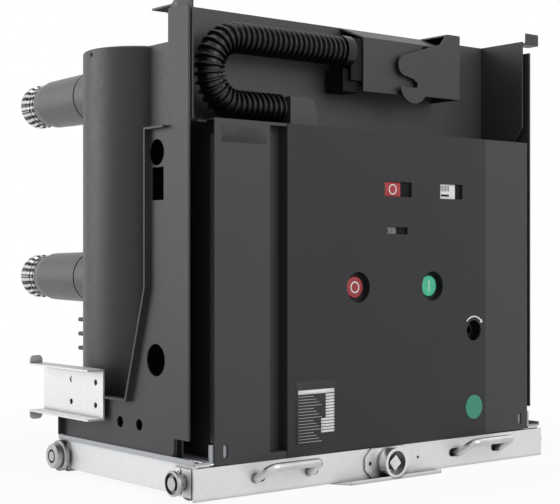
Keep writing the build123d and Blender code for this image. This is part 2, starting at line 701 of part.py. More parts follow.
def left_bracket_plate():
    """Narrow plate behind the left side plate's front strip, set back inwards."""
    outer = -inner_half
    t = BACK_SHEET
    edge = STRIP_REAR - BRACKET_STRIP
    plan = [(outer, BRACKET_FRONT), (outer, edge), (-back_left, BACK_Y), (-back_left + t, BACK_Y)]
    plan += [(outer + t, edge - 1), (outer + t, BRACKET_FRONT)]
    plate = flat_sheet(outline(plan), deck_top, back_top)
    front = BRACKET_FRONT - 1
    plate -= block(outer - 1, outer + t + 1, front, BRACKET_LOW_FRONT, deck_top - 1, COVER_TOP)
    return plate + other_side(bracket_tab(inner_half))


def back_panel():
    """Panel behind the mechanism, flanged backwards along its top."""
    panel = block(-back_left, inner_half, BACK_Y, back_rear, deck_top, back_top)
    flange_rear = back_rear + BACK_FLANGE
    low = back_top - BACK_SHEET
    return panel + block(-back_left, back_left, back_rear, flange_rear, low, back_top)


def mechanism_housing():
    """Closed box of the spring mechanism with its top shelf."""
    shelf_top = COVER_TOP - COVER_SHEET - SEAT
    shelf_bottom = shelf_top - SHELF_SHEET
    rear = BACK_Y
    middle = BRACKET_LOW_FRONT
    ear = inner_half - BACK_SHEET
    box = block(-housing_half, housing_half, HOUSING_FRONT, rear, deck_top, shelf_top)
    box += block(-ear, ear, middle, rear, shelf_bottom, shelf_top)
    for side in (-1, 1):
        ear_in = side * (cover_half + SHELF_COVER_GAP)
        box += block(ear_in, side * ear, SHELF_EAR_FRONT, middle + 1, shelf_bottom, shelf_top)
        box += block(side * housing_half, side * ear, HOUSING_FRONT, middle + 1, shelf_bottom, shelf_top)
    for x in (O_BUTTON_X, I_BUTTON_X):
        hole_rear = HOUSING_FRONT + STEM_HOLE_DEPTH
        box -= bar_y(STEM_RADIUS + SEAT, HOUSING_FRONT - 1, hole_rear, x, BUTTON_Z)
    cut_front = middle + SHELF_LEFT_END
    left_cut = block(-ear - 1, -housing_half, cut_front, rear + 1, shelf_bottom - 1, shelf_top + 1)
    return box - left_cut


# ------------------------------------------------------- front cover and controls
def panel_openings():
    """Outlines, as X and Z, of the openings through the cover and the panel."""
    return [
        Pos(FLAG_X, WINDOW_Z) * Rectangle(FLAG_WIDTH, WINDOW_HEIGHT),
        Pos(SPRING_X, WINDOW_Z) * Rectangle(SPRING_WIDTH, WINDOW_HEIGHT),
        Pos(COUNTER_X, COUNTER_Z) * Rectangle(COUNTER_WIDTH, COUNTER_HEIGHT),
        Pos(CRANK_X, CRANK_Z) * Circle(CRANK_RADIUS),
    ]


def front_cover():
    """Folded sheet cover with side returns and a deep upright groove."""
    t = COVER_SHEET
    cover = block(-cover_half, cover_half, 0, t, COVER_BOTTOM, COVER_TOP)
    cover += block(-cover_half, cover_half, 0, HOUSING_FRONT, COVER_TOP - t, COVER_TOP)
    return_bottom = deck_top + DECK_FRONT_LIP + RETURN_LIP_GAP
    for side in (-1, 1):
        inner = side * (cover_half - t)
        return_top = COVER_TOP - COVER_RETURN_GAP
        cover += block(side * cover_half, inner, 0, COVER_RETURN, return_bottom, return_top)
    cover += groove_channel(t)
    cover -= groove_room()
    for x in (O_BUTTON_X, I_BUTTON_X):
        cover -= bar_y(BUTTON_CUP + CUP_WALL + SEAT, -1, t + 1, x, BUTTON_Z)
    for shape in panel_openings():
        cover -= front_sheet(shape, -1, t + 1)
    for side in (-1, 1):
        slot = Rot(0, 0, 90) * SlotOverall(COVER_SLOT_LENGTH, COVER_SLOT_WIDTH)
        spot = Pos(side * (cover_half - COVER_SLOT_IN), deck_top + COVER_SLOT_RISE)
        cover -= front_sheet(spot * slot, -1, t + 1)
    return cover


def groove_channel(t):
    """Walls of the groove behind the cover's face."""
    left = GROOVE_LEFT - GROOVE_BEND - t
    z0 = COVER_BOTTOM + GROOVE_RISE - GROOVE_END
    z1 = COVER_TOP - t
    walls = block(left, GROOVE_RIGHT + t, 0, GROOVE_DEPTH + t, z0, z1)
    rear = GROOVE_DEPTH + t + 1
    hollow = block(left - 1, GROOVE_LEFT - t, GROOVE_BEND + t, rear, z0 - 1, z1 + 1)
    return walls - hollow


def groove_room():
    """The groove itself, with a round bend on its left and square ends."""
    z0 = COVER_BOTTOM + GROOVE_RISE
    z1 = COVER_TOP - GROOVE_DROP
    left = GROOVE_LEFT - GROOVE_BEND
    room = block(left, GROOVE_RIGHT, -1, GROOVE_DEPTH, z0, z1)
    bend = block(left - 1, GROOVE_LEFT, GROOVE_BEND, GROOVE_DEPTH + 1, z0 - 1, z1 + 1)
    round_bend = Pos(left, GROOVE_BEND, (z0 + z1) / 2) * Cylinder(GROOVE_BEND, z1 - z0 + 2)
    return room - bend - round_bend


def control_panel():
    """Thin panel over the cover with two cups for the push buttons."""
    t = PANEL_SHEET
    panel = block(GROOVE_RIGHT, PANEL_RIGHT, -t, 0, COVER_BOTTOM, COVER_TOP)
    floor = BUTTON_SET_BACK + CUP_DEPTH
    for x in (O_BUTTON_X, I_BUTTON_X):
        panel += bar_y(BUTTON_CUP + CUP_WALL, -t, floor, x, BUTTON_Z)
        panel -= bar_y(BUTTON_CUP, -t - 1, floor - CUP_FLOOR, x, BUTTON_Z)
        panel -= bar_y(BUTTON_RADIUS + SEAT, -t, floor + 1, x, BUTTON_Z)
    for shape in panel_openings():
        panel -= front_sheet(shape, -t - 1, 1)
    return panel


def push_button(x):
    """Round button head on a stem."""
    head_rear = HOUSING_FRONT - BUTTON_GAP
    head = bar_y(BUTTON_RADIUS, BUTTON_SET_BACK, head_rear, x, BUTTON_Z)
    front_edge = head.edges().filter_by(GeomType.CIRCLE).sort_by(Axis.Y)[0]
    head = fillet(front_edge, BUTTON_EDGE)
    return head + bar_y(STEM_RADIUS, head_rear, HOUSING_FRONT + STEM_SET_IN, x, BUTTON_Z)


def window_plate(x, z, width, height):
    """Plate behind a window of the cover, on a stalk from the housing."""
    front = COVER_SHEET + SEAT
    half = width / 2 + WINDOW_MARGIN
    rise = height / 2 + WINDOW_MARGIN
    rear = front + WINDOW_SHEET
    stalk = STALK_HALF
    plate = block(x - half, x + half, front, rear, z - rise, z + rise)
    return plate + block(x - stalk, x + stalk, rear, HOUSING_FRONT, z - stalk, z + stalk)


def charging_shaft():
    """Socket of the manual charging crank."""
    front = HOUSING_FRONT - SHAFT_LENGTH
    shaft = bar_y(SHAFT_RADIUS, front, HOUSING_FRONT, CRANK_X, CRANK_Z)
    return shaft - bar_y(SHAFT_BORE, front - 1, HOUSING_FRONT - SHAFT_FLOOR, CRANK_X, CRANK_Z)


# ------------------------------------------------------------------------- poles
def pole(x):
    """Moulded pole housing: round tower, front web, rear pad and ribs."""
    height = POLE_TOP - POLE_BOTTOM
    tower = Pos(x, POLE_Y, (POLE_TOP + POLE_BOTTOM) / 2) * Cylinder(POLE_RADIUS, height)
    top_edge = tower.edges().filter_by(GeomType.CIRCLE).sort_by(Axis.Z)[-1]
    tower = fillet(top_edge, POLE_EDGE)
    body = tower + block(x - WEB_HALF, x + WEB_HALF, back_rear, POLE_Y, POLE_BOTTOM, POLE_TOP)
    rear = POLE_Y + POLE_RADIUS
    pad_rear = rear + PAD_PROUD
    pad_low, pad_high = LOWER_ARM_Z + PAD_END, upper_arm_z - PAD_END
    body += block(x - PAD_HALF, x + PAD_HALF, POLE_Y, pad_rear, pad_low, pad_high)
    for step in range(RIB_COUNT):
        z = LOWER_ARM_Z - RIB_DROP - RIB_PITCH * step
        half = RIB_THICKNESS / 2
        rib_rear = rear + RIB_PROUD
        body += block(x - RIB_HALF, x + RIB_HALF, POLE_Y, rib_rear, z - half, z + half)
    return body


def arm(x, z):
    """Insulated contact arm: root, joint groove, tapered sleeve, open end."""
    start = POLE_Y + POLE_RADIUS - ARM_ROOT_DEPTH
    groove_front, groove_rear = ARM_JOINT_Y - ARM_GROOVE_HALF, ARM_JOINT_Y + ARM_GROOVE_HALF
    groove_radius = ARM_ROOT_RADIUS - ARM_GROOVE_DEPTH
    profile = [(0, start), (ARM_ROOT_RADIUS, start)]
    profile += [(ARM_ROOT_RADIUS, groove_front), (groove_radius, groove_front)]
    profile += [(groove_radius, groove_rear), (ARM_ROOT_RADIUS, groove_rear)]
    profile += [(ARM_NECK_RADIUS, ARM_SHOULDER_Y), (ARM_END_RADIUS, ARM_END_Y)]
    bore = ARM_END_RADIUS - ARM_WALL
    profile += [(bore, ARM_END_Y), (bore, ARM_SHOULDER_Y)]
    profile += [(0, ARM_SHOULDER_Y)]
    solid = Pos(x, 0, z) * revolve(outline(profile), Axis.Y)
    tower = Pos(x, POLE_Y, z) * Cylinder(POLE_RADIUS, 4 * ARM_ROOT_RADIUS)
    return solid - tower


def tulip(x, z):
    """Tulip contact: a ring of sprung fingers on a round base."""
    base_y = ARM_SHOULDER_Y
    base_end = base_y + TULIP_BASE
    base_radius = ARM_END_RADIUS - ARM_WALL - TULIP_BASE_GAP
    grip = TULIP_GRIP_RADIUS
    rim = TULIP_RIM_RADIUS
    tip = TULIP_TIP_Y
    waist = rim - TULIP_WAIST_IN
    loose, raw = grip + TULIP_BORE_ALLOWANCE, grip - TULIP_BORE_ALLOWANCE
    profile = [(loose, base_end - 1), (base_radius, base_end - 1), (base_radius, ARM_END_Y)]
    profile += [(waist, ARM_END_Y + TULIP_WAIST_FRONT), (waist, tip - TULIP_WAIST_REAR)]
    profile += [(rim, tip - TULIP_RIM_FRONT), (rim, tip - TULIP_RIM_REAR)]
    profile += [(rim - TULIP_NOSE_IN, tip - TULIP_NOSE_REAR), (rim - TULIP_TIP_IN, tip)]
    profile += [(grip + TULIP_MOUTH, tip), (raw, tip - TULIP_GRIP_REAR)]
    profile += [(raw, tip - TULIP_GRIP_FRONT), (loose, tip - TULIP_GRIP_RAMP)]
    fingers = revolve(outline(profile), Axis.Y)
    slot = block(0, rim + 2, base_end, tip + 1, -FINGER_GAP / 2, FINGER_GAP / 2)
    for index in range(FINGER_COUNT):
        fingers -= Rot(0, 360 / FINGER_COUNT * index, 0) * slot
    part = fingers + bar_y(base_radius, base_y, base_end, 0, 0)
    part -= bar_y(grip, base_end, tip + 1, 0, 0)
    for y in (ARM_END_Y + FRONT_BAND, tip - REAR_BAND):
        band = bar_y(waist + BAND_PROUD, y - BAND_HALF, y + BAND_HALF, 0, 0)
        part += band - bar_y(waist - BAND_PROUD, y - 2 * BAND_HALF, y + 2 * BAND_HALF, 0, 0)
    return Pos(x, 0, z) * part


def pair(make, x):
    """The upper and the lower piece of one pole."""
    return Compound(children=[make(x, upper_arm_z), make(x, LOWER_ARM_Z)])


# ------------------------------------------------------------------ shutter rails
def shutter_rail():
    """Left channel rail with bent end tabs, on a stand-off block."""
    web_in = -rail_web_half + RAIL_SHEET
    outer = -rail_web_half - RAIL_FLANGE
    top = RAIL_BOTTOM + RAIL_HEIGHT
    t = RAIL_SHEET
    rail = block(-rail_web_half, web_in, RAIL_FRONT, RAIL_REAR, RAIL_BOTTOM, top)
    rail += block(outer, web_in, RAIL_FRONT, RAIL_REAR, top - t, top)
    rail += block(outer, web_in, RAIL_FRONT, RAIL_REAR, RAIL_BOTTOM, RAIL_BOTTOM + t)
    tab = RectangleRounded(RAIL_TAB_LENGTH, 2 * RAIL_TAB, RAIL_TAB_CORNER)
    tab = Pos(outer + RAIL_TAB_LENGTH / 2, 0) * tab
    tab_sheet = front_sheet(Pos(0, top) * tab, RAIL_REAR - t, RAIL_REAR)
    rail += tab_sheet - block(outer - 1, 0, 0, RAIL_REAR + 1, 0, top - t)
    low_tab = front_sheet(Pos(0, RAIL_BOTTOM) * tab, RAIL_REAR - t, RAIL_REAR)
    rail += low_tab - block(outer - 1, 0, 0, RAIL_REAR + 1, RAIL_BOTTOM + t, top + 99)
    hole_y = RAIL_FRONT + RAIL_HOLE_SET_BACK
    hole_z = RAIL_BOTTOM + RAIL_HEIGHT / 2
    for side in (-1, 1):
        for rise in (-1, 1):
            y = hole_y + side * RAIL_HOLE_SPACING / 2
            z = hole_z + rise * RAIL_HOLE_RISE / 2
            rail -= bar_x(RAIL_HOLE_RADIUS, -rail_web_half - 1, web_in + 1, y, z)
    reach = STAND_OFF_LENGTH / 2
    low, high = RAIL_BOTTOM + STAND_OFF_RISE, STEP_Z - STAND_OFF_DROP
    return rail + block(web_in, -body_half, hole_y - reach, hole_y + reach, low, high)


# ------------------------------------------------------- conduit and hook bracket
def control_conduit():
    """Corrugated conduit's envelope: two level runs and a half-circle bend."""
    start = (CONDUIT_FITTING_X, CONDUIT_Y, conduit_top_z)
    turn_top = (CONDUIT_TURN_X, CONDUIT_Y, conduit_top_z)
    turn_mid = (CONDUIT_TURN_X - CONDUIT_BEND, CONDUIT_Y, conduit_top_z - CONDUIT_BEND)
    turn_low = (CONDUIT_TURN_X, CONDUIT_Y, conduit_low_z)
    end = (ENTRY_LEFT, CONDUIT_Y, conduit_low_z)
    route = Line(start, turn_top) + ThreePointArc(turn_top, turn_mid, turn_low) + Line(turn_low, end)
    section = Plane(origin=start, z_dir=(-1, 0, 0)) * Circle(CONDUIT_RADIUS)
    return sweep(section, path=route)


def conduit_fitting():
    """Collar between the conduit and the stowed plug."""
    start = CONDUIT_FITTING_X
    radius = CONDUIT_RADIUS + FITTING_PROUD
    collar = bar_x(radius, start, start + FITTING_LENGTH, CONDUIT_Y, conduit_top_z)
    inner = CONDUIT_RADIUS - FITTING_RIM
    return collar - bar_x(inner, start - 1, start + FITTING_RECESS, CONDUIT_Y, conduit_top_z)


def conduit_entry():
    """Box on the mechanism that the conduit's lower end runs into."""
    x0, x1 = ENTRY_LEFT, ENTRY_RIGHT
    box = block(x0, x1, ENTRY_FRONT, BACK_Y, COVER_TOP - COVER_SHEET - SEAT, entry_top)
    corner = box.edges().filter_by(Axis.Y).sort_by_distance((x1, BACK_Y / 2, entry_top))[0]
    return fillet(corner, ENTRY_CORNER)


def stowed_plug():
    """Control plug parked behind the bracket's plate."""
    x0 = CONDUIT_FITTING_X + FITTING_LENGTH
    y0 = PARK_Y + HOOK_SHEET + SEAT
    low = conduit_top_z - PLUG_DROP
    high = conduit_top_z + PLUG_HALF_HEIGHT
    body = block(x0, PARK_RIGHT - PLUG_END_IN, y0, BACK_Y - PLUG_BACK_GAP, low, high)
    box_top = conduit_top_z - CONDUIT_RADIUS - PLUG_BOX_GAP
    box_low = conduit_top_z - PLUG_BOX_DROP
    front, rear = y0 + PLUG_BOX_SET_IN, BACK_Y - PLUG_BOX_SET_IN
    left, right = x0 - PLUG_BOX_LENGTH, x0 + PLUG_BOX_BACK
    return body + block(left, right, front, rear, box_low, box_top)


def hook_outline():
    """Outline of the hook plate, as X and Z: nose, throat, hook and square end."""
    step_x = HOOK_RIGHT - HOOK_STEP
    nose_top = nose_z + NOSE_RADIUS
    mouth = THROAT_X - MOUTH_IN
    top = [(HOOK_RIGHT, back_top), (step_x, back_top), (step_x - HOOK_SLOPE, shoulder_z)]
    low = [(NOSE_X, nose_top), (NOSE_X, nose_z - NOSE_RADIUS), (mouth, throat_z + MOUTH_RISE)]
    low += [(THROAT_X + HEEL_OUT, hook_bottom), (HOOK_RIGHT, hook_bottom)]
    body = outline(top + low) + Pos(NOSE_X, nose_z) * Circle(NOSE_RADIUS)
    hook = Pos(THROAT_X - HOOK_CENTRE_IN, throat_z) * Circle(HOOK_RADIUS)
    cut = Rectangle(HOOK_CUT_WIDTH, HOOK_CUT_HEIGHT)
    hook -= Pos(NOSE_X - HOOK_CUT_X, nose_z + HOOK_CUT_RISE) * cut
    reach = THROAT_X - HOOK_TIP_REACH
    wedge_low = throat_z - HOOK_WEDGE_LOW
    wedge = [(reach, wedge_low), (reach, throat_z + HOOK_WEDGE_TIP)]
    wedge += [(THROAT_X, throat_z + HOOK_WEDGE_THROAT), (THROAT_X, wedge_low)]
    hook -= outline(wedge)
    return body + hook - Pos(THROAT_X, throat_z) * Circle(THROAT_RADIUS)


def plug_hook_bracket():
    """Folded bracket on the back panel that parks the plug and carries a hook."""
    t = HOOK_SHEET
    step_x = HOOK_RIGHT - HOOK_STEP
    bracket = block(PARK_LEFT, PARK_RIGHT, PARK_Y, PARK_Y + t, park_bottom, park_top)
    roof = [(PARK_Y, park_top - t), (PARK_Y, park_top), (BACK_Y, back_top), (BACK_Y, back_top - t)]
    bracket += side_sheet(outline(roof), PARK_LEFT, step_x + ROOF_OVERLAP)
    bracket += front_sheet(hook_outline(), HOOK_Y, HOOK_Y + t)
    bracket += block(step_x, HOOK_RIGHT, HOOK_Y, BACK_Y, back_top - t, back_top)
    bracket += block(HOOK_RIGHT - t, HOOK_RIGHT, HOOK_Y, BACK_Y, hook_bottom, back_top)
    web = PARK_RIGHT - t
    low, high = park_bottom + PARK_WEB_RISE, park_top - PARK_WEB_DROP
    return bracket + block(web, PARK_RIGHT, HOOK_Y, PARK_Y + t, low, high)


# ------------------------------------------------------------------ write the part
def write_truck():
    save("truck_front_plate", truck_front_plate())
    save("truck_cross_member", truck_cross_member())
    save("truck_tongue_tray", truck_tongue_tray())
    save("deck_tray", deck_tray())
    save("racking_boss", racking_boss())
    save("racking_screw", racking_screw())
    pieces = {
        "truck_side_frame": Compound(children=bearing_plates() + [truck_side_frame()]),
        "front_roller": front_roller(),
        "rear_roller": rear_roller(),
        "pull_handle": pull_handle(),
    }
    for name, piece in pieces.items():
        save(f"{name}_left", piece)
        save(f"{name}_right", other_side(piece))


def write_frame():
    plate = side_plate()
    save("side_plate_left", plate)
    save("side_plate_right", other_side(plate))
    rail = shutter_rail()
    save("shutter_rail_left", rail)
    save("shutter_rail_right", other_side(rail))
    save("bracket_plate_left", left_bracket_plate())
    save("bracket_plate_right", right_bracket_plate())
    save("back_panel", back_panel())
    save("mechanism_housing", mechanism_housing())


def write_front():
    save("front_cover", front_cover())
    save("control_panel", control_panel())
    save("o_button", push_button(O_BUTTON_X))
    save("i_button", push_button(I_BUTTON_X))
    flag = window_plate(FLAG_X, WINDOW_Z, FLAG_WIDTH, WINDOW_HEIGHT)
    save("position_indicator", flag)
    save("spring_indicator", window_plate(SPRING_X, WINDOW_Z, SPRING_WIDTH, WINDOW_HEIGHT))
    save("operation_counter", window_plate(COUNTER_X, COUNTER_Z, COUNTER_WIDTH, COUNTER_HEIGHT))
    save("charging_shaft", charging_shaft())


def write_poles():
    places = {"left": -PHASE_PITCH, "middle": 0, "right": PHASE_PITCH}
    for name, x in places.items():
        save(f"pole_{name}", pole(x))
        save(f"contact_arms_{name}", pair(arm, x))
        save(f"tulip_contacts_{name}", pair(tulip, x))


def write_conduit():
    save("control_conduit", control_conduit())
    save("conduit_fitting", conduit_fitting())
    save("conduit_entry", conduit_entry())
    save("stowed_plug", stowed_plug())
    save("plug_hook_bracket", plug_hook_bracket())


write_truck()
write_frame()
write_front()
write_poles()
write_conduit()
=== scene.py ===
from math import cos, pi, radians, sin

import bpy
from bpy.props import FloatProperty, FloatVectorProperty, IntProperty, PointerProperty
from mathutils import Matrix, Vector


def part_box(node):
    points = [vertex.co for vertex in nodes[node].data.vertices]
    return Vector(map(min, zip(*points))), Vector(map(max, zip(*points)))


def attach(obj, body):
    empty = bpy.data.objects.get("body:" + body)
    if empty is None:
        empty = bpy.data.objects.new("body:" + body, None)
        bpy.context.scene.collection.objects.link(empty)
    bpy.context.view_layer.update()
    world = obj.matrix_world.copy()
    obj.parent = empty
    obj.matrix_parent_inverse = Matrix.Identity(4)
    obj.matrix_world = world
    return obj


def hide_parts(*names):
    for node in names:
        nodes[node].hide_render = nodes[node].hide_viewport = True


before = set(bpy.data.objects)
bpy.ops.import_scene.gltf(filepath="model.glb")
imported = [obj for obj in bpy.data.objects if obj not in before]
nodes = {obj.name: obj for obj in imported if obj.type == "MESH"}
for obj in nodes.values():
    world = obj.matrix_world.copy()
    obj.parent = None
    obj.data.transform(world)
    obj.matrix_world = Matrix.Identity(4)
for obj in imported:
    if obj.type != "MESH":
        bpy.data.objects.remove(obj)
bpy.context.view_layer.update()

bl_info = {
    "name": "Truck-mounted circuit breaker",
    "version": (1, 0, 0),
    "blender": (4, 5, 0),
    "location": "3D View > Sidebar > Breaker",
    "description": "Finishes and small fittings of a withdrawable circuit breaker",
    "category": "Object",
}

# All lengths are in metres. A place "from" an edge is measured on the CAD node's own box.

FACING = 0.9            # least cosine between a face and the direction it looks in
HARD_EDGE = radians(35)         # least angle of an edge that is rounded
FORWARD = (pi / 2, 0, 0)        # turns of a disc that bring its caps to the front or a side
SIDEWAYS = (0, pi / 2, 0)
FINGER_COUNT = 20       # fingers of one contact

# conduit; each step of a rib's profile is a share of its pitch, and then of its depth
RIB_SIDES = 32
RIB_PROFILE = ((0.24, 0.0), (0.07, 0.50), (0.07, 0.88), (0.08, 1.0), (0.08, 1.0),
               (0.08, 0.88), (0.07, 0.50), (0.07, 0.0), (0.24, 0.0))
RIB_WELD = 0.0001
BEND_WELD = 0.00005
CIRCLE_ARM = 0.5523     # handle of a quarter circle, in radii
HANDLE_REACH = 0.0100
BEND_STEPS = 24

# fittings behind the panel's windows, from the left end of each window's plate
WINDOW_GAP = 0.0001
WINDOW_EDGE = 0.0003
INSERT_PROUD = 0.0008
FLAG_LEFT = 0.0035
FLAG_RIGHT = 0.0350
FLAG_HALF = 0.0102
FLAG_RING_SHIFT = 0.0010
FLAG_RING_OUTER = 0.0074
FLAG_RING_INNER = 0.0058
FLAG_RING_THICK = 0.0002
SHADE_SHARE = 0.70      # share of the spring window that is white
SHADE_MARGIN = 0.0030
SIGN_PROUD = 0.0003
SIGN_LEFT = 0.0075
SIGN_WIDTH = 0.0162
SIGN_EDGE = 0.00005
COIL_COUNT = 6
COIL_PITCH = 0.0030
COIL_WIDTH = 0.0011
COIL_RISE = (0.0005, 0.0080)
BASE_RISE = (-0.0070, -0.0040)
COUNTER_FIGURES = "037"
DRUM_LEFT = 0.0040
DRUM_PITCH = 0.0058
DRUM_WIDTH = 0.0054
DRUM_HALF = 0.0046
DRUM_PROUD = 0.0010
DIGIT_PROUD = 0.0011
DIGIT_SIZE = 0.0072
DIGIT_EXTRUDE = 0.00006
DIGIT_STEPS = 3

# crank arrow, about the crank hole
ARROW_RADIUS = 0.0205
ARROW_START = radians(138)
ARROW_SWEEP = radians(-98)
ARROW_STEPS = 20
ARROW_THICK = 0.00015
ARROW_HEAD = 0.0036
ARROW_HEAD_THICK = 0.00016

# roundel and ruled plate, from the low left corner of the panel
ROUNDEL_RISE = 0.0410
ROUNDEL_THICK = 0.0004
RATING_LEFT = 0.0145
RATING_RIGHT = 0.0825
RATING_LOW = 0.0140
RATING_HIGH = 0.0970
PRINT_THICK = 0.0001
ROW_COUNT = 16
ROW_PITCH = 0.0040
ROW_DROP = 0.0210
ROW_LEFT = 0.0035
ROW_HEIGHT = 0.0009
ROW_SHORTEST = 0.0300
ROW_STEP = 0.0045
ROW_LENGTHS = 4
CELL_COUNT = 13
NARROW_CELLS = 8
NARROW_WIDTH = 0.0150
WIDE_WIDTH = 0.0230
CELL_RIGHT = 0.0025
CELL_RISE = (-0.0008, 0.0022)
HEADING_LEFT = 0.0030
HEADING_DROP = (0.0175, 0.0120)

# blank label, from the top left corner of the cover
LABEL_LEFT = 0.0115
LABEL_RIGHT = 0.0830
LABEL_DROP = (0.0290, 0.0090)
LABEL_THICK = 0.0003
LABEL_EDGE = 0.00008

# fins and the top screw of a pole
POLE_REACH = 0.0900     # a pole's rearmost point behind its axis
FIN_TOP = 0.2130
FIN_PITCH = 0.0210
FIN_COUNT = 3
FIN_ROOT = 0.0400
FIN_CORNER = 0.0100
POLE_SCREW_DROP = 0.0085
POLE_SCREW_RADIUS = 0.0032
POLE_SCREW_THICK = 0.0008
POLE_SCREW_SINK = 0.0003

# pan head; its rounding is a share of its height, and its recess's rim of its radius
HEAD_ROUNDING = 0.45
RECESS_RIM = 0.30
RECESS_DEPTH = 0.0008
CAP_LEAST_AREA = 1e-6

# holes of a side plate: from its front edge, over its lowest edge, and radius
SIDE_HOLES = ((0.0704, 0.3900, 0.0170), (0.0724, 0.1230, 0.0210),
              (0.1114, 0.0360, 0.0076), (0.1579, 0.0360, 0.0076))
# slot of a side plate: from its front edge, over its lowest edge, width and height
SIDE_SLOT = (0.0679, 0.34975, 0.0270, 0.0425)
# dark discs just inside those holes, painted shade where the breaker's inside is unlit
SHADE_DISC_DEPTH = 0.0007
SHADE_DISC_THICK = 0.0008
SHADE_DISC_GAP = 0.0002

# small hole of the front plate, level with the boss
PLATE_HOLE_X = 0.0610
PLATE_HOLE_RADIUS = 0.0020
PLATE_HOLE_DEPTH = 0.0012

# stage: each lamp's name, place, target, size and power in watts
LAMPS = (
    ("left", (-2.8, 2.0, 1.2), (0, 0, 0.30), 2.6, 60),
    ("front", (0.25, -3.45, 1.8), (0, 0, 0.30), 2.4, 54),
    ("right", (2.9, -0.6, 1.6), (0, 0, 0.35), 1.8, 12),
    ("top", (-0.2, 0.2, 3.2), (0, 0, 0.30), 2.6, 22),
)
FLOOR_SIZE = 80
FLOOR_WHITE = (0.92, 1.0)       # share of plain white near the breaker and far from it
FLOOR_FADE = (0.45, 1.1)        # distances between which that share changes
SKY_TINT = (0.96, 0.98, 1.0, 1.0)
SKY_STRENGTH = 0.28
WHITE = (1.0, 1.0, 1.0, 1.0)
CAMERA_PLACE = (-1.2763, -1.63225, 0.302)
CAMERA_TURN = radians(-38.9)
CAMERA_SENSOR = 36.0
CAMERA_LENS = 85.9
CAMERA_SHIFT = 0.0132


# ------------------------------------------------------------------ properties
def length(name, description, default):
    """A length that a user can change."""
    return FloatProperty(name=name, description=description, default=default,
                         min=0.0, unit="LENGTH", precision=5)


def colour(name, description, default):
    """A colour that a user can change."""
    return FloatVectorProperty(name=name, description=description, default=default,
                               size=3, min=0.0, max=1.0, subtype="COLOR")


class BreakerSizes(bpy.types.PropertyGroup):
    """Sizes of the fittings, in metres"""
    rib_count: IntProperty(name="Conduit ribs", description="Ribs along the conduit",
                           default=44, min=8)
    rib_depth: length("Rib depth", "Height of a rib over the conduit's wall", 0.0045)
    mark_proud: length("Mark thickness", "Paint and film standing off a face", 0.00012)
    plate_thick: length("Label thickness", "Thickness of the blank plates", 0.0005)
    button_mark: length("Button mark", "Half height of the O and I marks", 0.0080)
    stroke: length("Mark stroke", "Width of the painted strokes", 0.0018)
    roundel: length("Roundel radius", "Radius of the plain green roundel", 0.0175)
    screw_radius: length("Screw radius", "Radius of the small pan heads", 0.0034)
    screw_height: length("Screw height", "Height of the small pan heads", 0.0018)
    screw_back: length("Screw set-back", "Small screws behind the front axle", 0.0070)
    screw_rise: length("Screw rise", "Small screws above and below the axle", 0.0130)
    fin_half: length("Fin half width", "Half width of a pole's rear fins", 0.0550)
    fin_reach: length("Fin reach", "Fins behind the pole's axis", 0.0950)
    fin_thick: length("Fin thickness", "Thickness of the rear fins", 0.0056)


class BreakerColours(bpy.types.PropertyGroup):
    """Colours of the finishes"""
    sheet_black: colour("Sheet black", "Powder coat on the frame", (0.028, 0.029, 0.031))
    # painted light: a lighter copy of the frame's coat that lifts the shaded back panel
    back_lightened_black: colour("Back black", "Powder coat on the back panel", (0.038, 0.039, 0.041))
    # painted shade: a near-black copy of the coat for the housing, standing in for the shade
    # inside the breaker
    shaded_housing_black: colour("Interior black", "Matt housing inside", (0.010, 0.010, 0.011))
    # painted shade: near black of the discs inside the holes
    hole_shade_black: colour("Hole_shade black", "Shade_discs of the side plates' holes",
                         (0.0012, 0.0012, 0.0012))
    cover_black: colour("Cover black", "Powder coat on the cover", (0.021, 0.022, 0.024))
    panel_black: colour("Panel black", "Film on the control panel", (0.0135, 0.0140, 0.0155))
    label_black: colour("Label black", "Film of the blank plates", (0.0165, 0.0170, 0.0185))
    recess_black: colour("Recess black", "Recesses, the parked plug and small dark prints",
                         (0.0030, 0.0030, 0.0034))
    galvanised: colour("Galvanised", "Zinc-coated sheet of the truck", (0.74, 0.745, 0.75))
    deck_zinc: colour("Deck zinc", "Duller zinc of the deck tray", (0.38, 0.39, 0.415))
    zinc: colour("Plated zinc", "Plated small hardware", (0.68, 0.685, 0.69))
    roller_zinc: colour("Roller zinc", "Duller zinc of the rollers", (0.42, 0.425, 0.43))
    steel: colour("Bright steel", "Polished pull handles", (0.54, 0.545, 0.55))
    dark_steel: colour("Dark steel", "Oiled steel of shafts", (0.030, 0.030, 0.032))
    epoxy: colour("Pole grey", "Cast resin of the poles", (0.030, 0.031, 0.033))
    sleeve: colour("Arm grey", "Moulded sleeves of the arms", (0.092, 0.094, 0.098))
    silver: colour("Contact silver", "Plated contact fingers", (0.66, 0.655, 0.65))
    conduit: colour("Conduit black", "Corrugated plastic", (0.0035, 0.0035, 0.0040))
    signal_red: colour("Signal red", "Opening button", (0.34, 0.014, 0.022))
    flag_red: colour("Flag red", "Position flag", (0.38, 0.020, 0.030))
    signal_green: colour("Signal green", "Closing button", (0.045, 0.52, 0.29))
    roundel_green: colour("Roundel green", "Plain roundel on the panel", (0.035, 0.27, 0.17))
    mark_white: colour("Mark white", "Painted marks", (0.86, 0.86, 0.85))
    faded_grey: colour("Faded grey", "Fine printed rows of the plate", (0.42, 0.42, 0.42))
    drum_grey: colour("Drum grey", "Digit drums of the counter", (0.24, 0.24, 0.24))
    # painted shade between the contact fingers
    finger_shade: colour("Finger_shade", "Gaps between the contact fingers", (0.045, 0.044, 0.042))
    floor: colour("Floor", "Plain pale floor", (0.90, 0.90, 0.90))


# ------------------------------------------------------------ working in the mesh
def clear():
    """Leaves edit mode and deselects everything."""
    if bpy.context.object and bpy.context.object.mode != "OBJECT":
        bpy.ops.object.mode_set(mode="OBJECT")
    bpy.ops.object.select_all(action="DESELECT")


